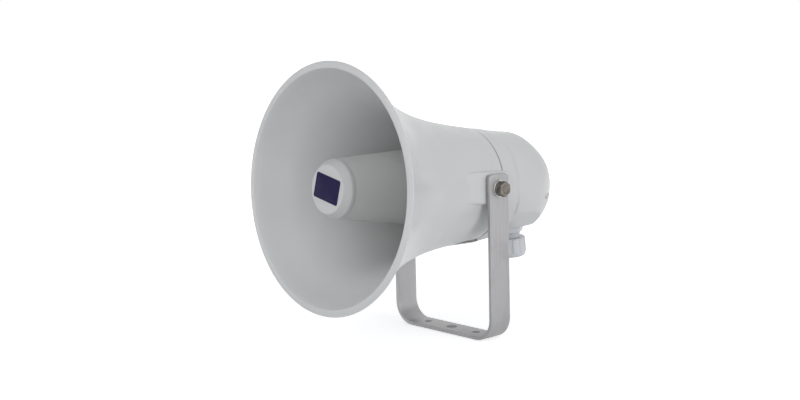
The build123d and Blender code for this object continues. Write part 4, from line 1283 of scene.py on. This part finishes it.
@dataclass
class Gland:
    """Cable gland under the cover: hexagon, threaded neck and ribbed dome nut."""

    at_y: float = 93.5
    thread_r: float = 11.0
    thread_depth: float = 0.75
    pitch: float = 1.5
    across: float = 27.0
    flange: float = 7.0
    gasket: float = 1.2
    neck: float = 6.5
    neck_hidden: float = 4.0
    bore_r: float = 7.6
    entry: float = 11.0
    nut_r: float = 16.0
    rib: float = 0.9
    ribs: int = 12
    rib_span: tuple[float, float] = (0.02, 0.8)
    nut_len: float = 20.8
    nut_round: float = 4.5
    mouth_r: float = 8.0
    finger_wall: float = 1.6
    cover: BackCover = field(default_factory=BackCover)

    def place(self, radius: Array, height: Array, turn: Array) -> Array:
        """Points about the gland axis in the horn frame.

        Args:
            radius: (n, m) distance from the gland axis.
            height: (m,) distance out from the bottom flat.
            turn: n angles.

        Returns:
            Array (n, m, 3): seat + radius (cos a X + sin a V) + height W, where
            W is the flat's outward normal and V lies in the flat.
        """
        slope = math.radians(self.cover.flat_slope)
        seat = np.array([0.0, self.at_y, -self.cover.flat_z
                         + (self.at_y - self.cover.flat_y) * math.tan(slope)])
        out = np.array([0.0, math.sin(slope), -math.cos(slope)])
        across = np.array([1.0, 0.0, 0.0])
        c, s = ((radius * f(turn)[:, None])[..., None] for f in (np.cos, np.sin))
        return seat + c * across + s * np.cross(out, across) + height[:, None] * out

    def body(self) -> Object:
        """Gland body: entry, hexagon flange with eased corners, threaded neck.

        The hexagon's radius at angle a is (across / 2) / cos(a mod 60 - 30); the
        thread adds a saw wave of height over pitch minus a / 2 pi.

        Returns:
            The new piece.
        """
        turn, half = angles(144), self.across / 2
        low, top = self.gasket, self.gasket + self.flange
        rows = np.linspace(top + 0.02, top + self.neck + self.neck_hidden, 56)
        hexa = np.minimum(half / np.cos(turn % SIXTH - SIXTH / 2), half * 1.115)
        start = [(-self.entry, self.thread_r), (low - 0.01, self.thread_r), (low, self.thread_r),
                 (low, half * 0.99), (low + 0.5, hexa), (top - 0.6, hexa), (top, half * 0.99)]
        phase = rows[None] / self.pitch - turn[:, None] / (2 * math.pi)
        wave = np.clip(np.abs(phase % 1.0 - 0.5) * 3 - 0.25, 0, 1)
        radius = np.concatenate([columns([r for _, r in start], turn),
                                 self.thread_r - self.thread_depth * wave,
                                 columns([self.bore_r, self.bore_r], turn)], axis=1)
        height = np.concatenate([[h for h, _ in start], rows, [rows[-1], -self.entry]])
        return horn_piece("gland_entry", self.place(radius, height, turn), True, 40.0)

    def nut(self) -> Object:
        """Dome nut: ribs round the barrel, smooth rounded shoulder, open mouth.

        Rib height at angle a is rib times a soft step of cos(ribs a), fading to
        nothing on the shoulder.

        Returns:
            The new piece.
        """
        turn = angles(288)
        start = self.gasket + self.flange + self.neck
        end = start + self.nut_len
        outer = soften([(self.thread_r + 0.1, start, 0), (self.nut_r - 0.3, start, 0.8),
                        (self.nut_r, end, self.nut_round), (self.mouth_r, end, 0.6),
                        (self.mouth_r, end - 3.0, 0)], closed=False, bits=10)
        inner = [(self.bore_r + self.finger_wall + 0.6, end - 6.0),
                 (self.thread_r + 0.1, end - 12.0)]
        radius, height = np.concatenate([fill_in(outer, 0.6), inner]).T
        wave = np.clip(np.cos(self.ribs * turn) * 2.2 + 0.75, 0, 1)
        h = (height - start) / self.nut_len
        low, high = self.rib_span
        fade = np.clip((high - h) / 0.04, 0, 1) * np.clip((h - low) / 0.03, 0, 1)
        lift = np.where(radius > self.nut_r - 1.2, fade, 0.0)
        ribbed = radius[None] + self.rib * wave[:, None] * lift[None]
        return horn_piece("gland_dome_nut", self.place(ribbed, height, turn), True, 34.0)

    def build(self, shop: Workshop) -> None:
        """Makes the gland body and its nut."""
        shop.fit(self.body(), "horn", "gland_nylon", "gland_body")
        shop.fit(self.nut(), "gland_cap", "gland_nylon", "gland_nut")


@dataclass
class PivotHardware:
    """Hexagon bolts, spring washers and flat washers on both legs.

    Attributes:
        face: distance of the bracket's outer face from the middle.
        bolt_r: radius of the bolt.
        across: head size across its flats.
        head: height of the head.
        dish: depth of the head's dished top.
        washer: radius and thickness of the flat washer.
        spring: radius and thickness of the spring washer.
        split: angles in degrees between which the spring washer runs.
        tip: distance of the bolt's end from the middle.
    """

    face: float = 71.76
    bolt_r: float = 4.0
    across: float = 13.7
    head: float = 5.3
    dish: float = 0.5
    washer: tuple[float, float] = (8.8, 1.6)
    spring: tuple[float, float] = (7.5, 2.0)
    split: tuple[float, float] = (124.0, 470.0)
    tip: float = 52.54

    def place(self, radius: Array, reach: Array, turn: Array, side: int) -> Array:
        """Points about the pivot axis: x is side times reach, y and z go round."""
        ring = around(radius, reach, turn)
        return np.stack([side * ring[..., 1], ring[..., 0], ring[..., 2] + HORN.axis_drop],
                        axis=-1)

    def bolt(self, side: int, name: str) -> Object:
        """Bolt: chamfered hexagon head, shallow dished top and plain shank.

        Head radius is the smaller of the hexagon and a 30 degree chamfer cone.

        Args:
            side: 1 for the near leg, -1 for the far one.
            name: name of the piece.

        Returns:
            The new piece.
        """
        turn, half = angles(120), self.across / 2
        under = self.face + self.washer[1] + self.spring[1]
        top = under + self.head
        hexa = half / np.cos((turn + SIXTH / 2) % SIXTH - SIXTH / 2)
        shank = [(self.tip, 0.0), (self.tip, self.bolt_r - 0.7), (self.tip + 0.7, self.bolt_r),
                 (under, self.bolt_r), (under, np.minimum(hexa, half * 1.02))]
        rows = np.linspace(under + 0.2, top, 14)
        cone = half * 0.97 + (top - rows) * 1.73
        crown = [(top, self.across * 0.33), (top - self.dish, self.across * 0.28),
                 (top - self.dish, 0.0)]
        radius = np.concatenate([columns([r for _, r in shank], turn),
                                 np.minimum(hexa[:, None], cone[None]),
                                 columns([r for _, r in crown], turn)], axis=1)
        reach = np.concatenate([[x for x, _ in shank], rows, [x for x, _ in crown]])
        return horn_piece(name, self.place(radius, reach, turn, side), False, 24.0)

    def flat(self, side: int, name: str) -> Object:
        """Flat washer with eased rims.

        Args:
            side: 1 for the near leg, -1 for the far one.
            name: name of the piece.

        Returns:
            The new piece.
        """
        (r, t), hole, near = self.washer, self.bolt_r + 0.3, self.face
        outline = soften([(hole, near, 0), (r, near, 0.35), (r, near + t, 0.35),
                          (hole, near + t, 0.2)], bits=4)
        return horn_piece(name, self.place(*outline.T, angles(96), side), True, 40.0)

    def coil(self, side: int, name: str) -> Object:
        """Spring washer: a square section carried round to a gap at its split.

        Args:
            side: 1 for the near leg, -1 for the far one.
            name: name of the piece.

        Returns:
            The new piece.
        """
        (r, t), hole = self.spring, self.bolt_r + 0.3
        turn = np.radians(np.linspace(*self.split, 110))
        radius, height = soften([(hole, 0.05, 0.2), (r, 0.05, 0.3), (r, t - 0.05, 0.3),
                                 (hole, t - 0.05, 0.2)], bits=3).T
        grid = capped(self.place(radius, self.face + self.washer[1] + height, turn, side))
        return make_mesh(name, HORN.place(grid), grid_faces(*grid.shape[:2], False, True), 40.0)

    def build(self, shop: Workshop) -> None:
        """Makes both sets; each set of two stands for its CAD node.

        Args:
            shop: dresses and places the pieces.
        """
        sets = ((self.bolt, "pivot_bolt", "pivot_bolts", "bolt_steel"),
                (self.flat, "flat_washer", "flat_washers", "plated_steel"),
                (self.coil, "spring_washer", "spring_washers", "core_steel"))
        for maker, label, node, finish in sets:
            for side, word in ((1, "near"), (-1, "far")):
                shop.fit(maker(side, f"{label}_{word}"), "horn", finish, node)


@dataclass
class Bracket:
    """U bracket bent from strip, with rounded edges, corners and holes."""

    width: float = 143.4
    strip: float = 26.8
    thick: float = 3.8
    bend: float = 23.5
    top: float = 170.5
    corner: float = 5.0
    edge: float = 0.6
    pivot: float = 156.0
    bore: float = 4.06
    holes: tuple[tuple[float, float], ...] = ((0.0, 5.8), (-35.8, 3.9), (35.8, 3.9))
    # Painted light along the strip: none on the near leg, some on the base, most on the far leg,
    # which the near leg and horn shade.
    painted_light: tuple[tuple[float, ...], ...] = ((-60.0, -30.0, 40.0, 65.0), (0.0, 0.4, 0.5, 1.0))

    def path(self) -> tuple[Array, Array]:
        """Middle line of the strip from one leg's top to the other's.

        Straight legs and base joined by quarter circles.

        Returns:
            Points (n, 2) in X and Z, and outward normals (n, 2).
        """
        half, mid_r = self.width / 2 - self.thick / 2, self.bend - self.thick / 2
        crown = self.top - self.corner * (1 - np.cos(np.linspace(0, QUARTER, 9)))
        leg = np.concatenate([crown, np.linspace(self.top - self.corner - 2, self.bend, 30)])
        t = np.linspace(0, QUARTER, 25)[1:]
        bow = np.stack([np.cos(t), -np.sin(t)], axis=1)
        floor = np.linspace(half - mid_r, 0.0, 20)[1:]
        side = np.concatenate([np.stack([np.full(len(leg), half), leg], axis=1),
                               np.array([half - mid_r, self.bend]) + mid_r * bow,
                               np.stack([floor, np.full(len(floor), self.thick / 2)], axis=1)])
        normal = np.concatenate([np.tile([1.0, 0.0], (len(leg), 1)), bow,
                                 np.tile([0.0, -1.0], (len(floor), 1))])
        mirror = np.array([-1.0, 1.0])
        return (np.concatenate([side, side[-2::-1] * mirror]),
                np.concatenate([normal, normal[-2::-1] * mirror]))

    def sheet(self) -> Object:
        """Strip: a rounded rectangle section carried along the middle line.

        Near each top the half width shrinks by corner - sqrt(corner^2 - d^2),
        where d is how far the point lies inside the corner's square.

        Returns:
            The new piece, without holes.
        """
        points, normals = self.path()
        half_w, half_t = self.strip / 2, self.thick / 2
        wide, out = soften([(a * half_w, b * half_t, self.edge)
                            for a, b in ((-1, -1), (1, -1), (1, 1), (-1, 1))], bits=4).T
        inside = np.clip(self.corner - (self.top - points[:, 1]), 0, self.corner)
        loss = self.corner - np.sqrt(self.corner ** 2 - inside ** 2)
        across = np.sign(wide) * np.maximum(np.abs(wide) - loss[:, None], 0.1)
        x, z = (points[:, k, None] + normals[:, k, None] * out for k in (0, 1))
        grid = capped(np.stack([x, across, z], axis=-1) / MM)
        return make_mesh("bracket_strip", grid, grid_faces(*grid.shape[:2], False, True), 34.0)

    def drill(self, strip: Object, radius: float, start: Vector, end: Vector) -> None:
        """Cuts a hole through the strip, round a line between two points.

        Args:
            strip: the bracket's strip.
            radius: radius of the hole.
            start: one end of the line.
            end: its other end.
        """
        turn, start, end = angles(64), start / MM, end / MM
        line = end - start
        frame = np.array(line.to_track_quat("Z", "Y").to_matrix())
        flat = np.array([[0, 0], [1, 0], [1, 1], [0, 1]], float)
        ring = np.stack([np.cos(turn), np.sin(turn)], axis=1) * radius / MM
        rise = np.broadcast_to(flat[None, :, 1:] * line.length, (len(turn), 4, 1))
        local = np.concatenate([flat[None, :, :1] * ring[:, None, :], rise], axis=-1)
        points = local @ frame.T + np.array(start)
        rod = make_mesh("drill", points, grid_faces(len(turn), 4, True, False), 40.0)
        cut(strip, rod, 34.0)

    def build(self, shop: Workshop) -> None:
        """Makes the strip and drills its holes.

        Args:
            shop: dresses and places the piece.
        """
        strip = self.sheet()
        for x, radius in self.holes:
            self.drill(strip, radius, Vector((x, 0, -5)), Vector((x, 0, 9)))
        for side in (-1, 1):
            self.drill(strip, self.bore, Vector((side * 60, 0, self.pivot)),
                       Vector((side * (self.width / 2 + 3), 0, self.pivot)))
        # Painted light on the shaded base and far leg, stored for the finish.
        mark(strip, "painted_light", lambda points: np.interp(-points[:, 0], *self.painted_light))
        shop.fit(strip, "bracket", "bracket_steel", "u_bracket")


# Stage


@dataclass
class Studio:
    """Pale floor, soft lamps and the camera at the photograph's angle.

    Attributes:
        eye: place of the camera, in metres like all that follows.
        aim: direction that it looks in.
        up: its upward direction.
        lens: focal length in millimetres on a sensor 36 mm wide.
        middle: point that every lamp faces.
        lamps: name, place, width and power of each lamp.
        lift: how much white the floor adds near the horn for the camera.
        soft: colour of the even light round the scene.
        strength: strength of that light.
    """

    eye: tuple[float, float, float] = (0.9853, -0.9534, 0.3377)
    aim: tuple[float, float, float] = (-0.7363, 0.6612, -0.1434)
    up: tuple[float, float, float] = (-0.0902, 0.1140, 0.9894)
    lens: float = 60.16
    middle: tuple[float, float, float] = (0.0, -0.02, 0.13)
    lamps: tuple[tuple[str, tuple[float, float, float], float, float], ...] = (
        ("right_key", (2.24, 0.2, 0.61), 0.9, 16.3),
        ("front_low", (1.12, -1.95, 0.61), 1.2, 9.5),
        ("front_high", (0.14, -1.62, 1.76), 1.2, 10.0),
        ("back_left", (-1.4, 1.6, 0.8), 1.4, 1.0))
    lift: float = 0.6
    soft: tuple[float, float, float, float] = (0.95, 0.97, 1.0, 1.0)
    strength: float = 0.44

    def put(self, name: str, data: bpy.types.ID, at: Sequence[float], turn: Matrix) -> Object:
        """Makes an object of camera or lamp data, placed and turned.

        Args:
            name: name of the object.
            data: camera or lamp data.
            at: its place.
            turn: rotation matrix.

        Returns:
            The new object.
        """
        obj = bpy.data.objects.new(name, data)
        obj.matrix_world = Matrix.Translation(Vector(at)) @ turn.to_4x4()
        bpy.context.scene.collection.objects.link(obj)
        return obj

    def camera(self) -> None:
        """Places the camera by its eye point, view direction and up vector."""
        data = bpy.data.cameras.new("camera")
        data.lens, data.sensor_width = self.lens, 36.0
        back = -Vector(self.aim).normalized()
        right = Vector(self.up).cross(back).normalized()
        turn = Matrix((right, back.cross(right), back)).transposed()
        bpy.context.scene.camera = self.put("camera", data, self.eye, turn)

    def lamp(self, name: str, at: Sequence[float], size: float, power: float) -> None:
        """Square soft lamp aimed at the horn.

        Args:
            name: name of the lamp.
            at: its place.
            size: length of its side.
            power: power in watts.
        """
        data = bpy.data.lights.new(name, "AREA")
        data.size, data.energy = size, power
        away = Vector(at) - Vector(self.middle)
        lamp = self.put(name, data, at, away.to_track_quat("Z", "Y").to_matrix())
        lamp.visible_camera = False

    def seen(self, bench: NodeBench) -> Socket:
        """One where a ray is a camera, glossy or transmission ray.

        Args:
            bench: nodes of the material or world.

        Returns:
            One or zero.
        """
        rays = bench.add("ShaderNodeLightPath").outputs
        value = rays["Is Camera Ray"]
        for name in ("Is Glossy Ray", "Is Transmission Ray"):
            value = bench.calc("MAXIMUM", value, rays[name])
        return value

    def world(self) -> None:
        """Even light, white where the camera, gloss or glass looks at it."""
        world = bpy.data.worlds.new("studio")
        bpy.context.scene.world = world
        bench = NodeBench(world)
        bench.tree.nodes.clear()
        mix = bench.add("ShaderNodeMixShader")
        bench.plug(self.seen(bench), mix.inputs["Fac"])
        for i, (colour, strength) in enumerate(((self.soft, self.strength), (WHITE, 1.0))):
            light = bench.add("ShaderNodeBackground", strength=strength)
            light.inputs["Color"].default_value = colour
            bench.plug(light.outputs[0], mix.inputs[i + 1])
        bench.plug(mix.outputs[0], bench.add("ShaderNodeOutputWorld").inputs["Surface"])

    def floor(self) -> None:
        """Wide pale floor, just below the bracket."""
        half, under = 15.0, -0.0004
        corners = [(x * half, y * half, under) for x, y in ((-1, -1), (1, -1), (1, 1), (-1, 1))]
        floor = make_mesh("floor", np.array(corners), np.array([[0, 1, 2, 3]]), 60.0)
        floor.data.materials.append(self.paper())

    def paper(self) -> bpy.types.Material:
        """Matte white paper whose lift for camera, gloss and glass rays grows with distance.

        Returns:
            The new material.
        """
        bench = NodeBench(bpy.data.materials.new("paper"))
        reach = bench.add("ShaderNodeVectorMath", operation="LENGTH")
        bench.plug(bench.coords, reach.inputs[0])
        lift = bench.ramp(reach.outputs["Value"], 0.25, 0.9, self.lift, 1.0)
        return bench.wire({"Base Color": (0.84, 0.84, 0.84, 1.0), "Roughness": 0.9,
                           "Specular IOR Level": 0.0, "Emission Color": WHITE,
                           "Emission Strength": bench.calc("MULTIPLY", self.seen(bench), lift)})

    def build(self) -> None:
        """Sets camera, lamps, floor, world and the plain view transform."""
        bpy.context.scene.view_settings.view_transform = "Standard"
        self.camera()
        self.floor()
        self.world()
        for lamp in self.lamps:
            self.lamp(*lamp)


def main() -> None:
    """Loads the frame, builds each sub-assembly, dresses what stays and stages it."""
    logging.basicConfig(level=logging.INFO, format="%(name)s %(message)s")
    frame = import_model()
    shop = Workshop(frame)
    Studio().build()
    for part in (Bell(), BackCover(), SoundFold(), Gland(), PivotHardware(), Bracket()):
        part.build(shop)
    shop.dress_cad()


if __name__ == "__main__":
    main()
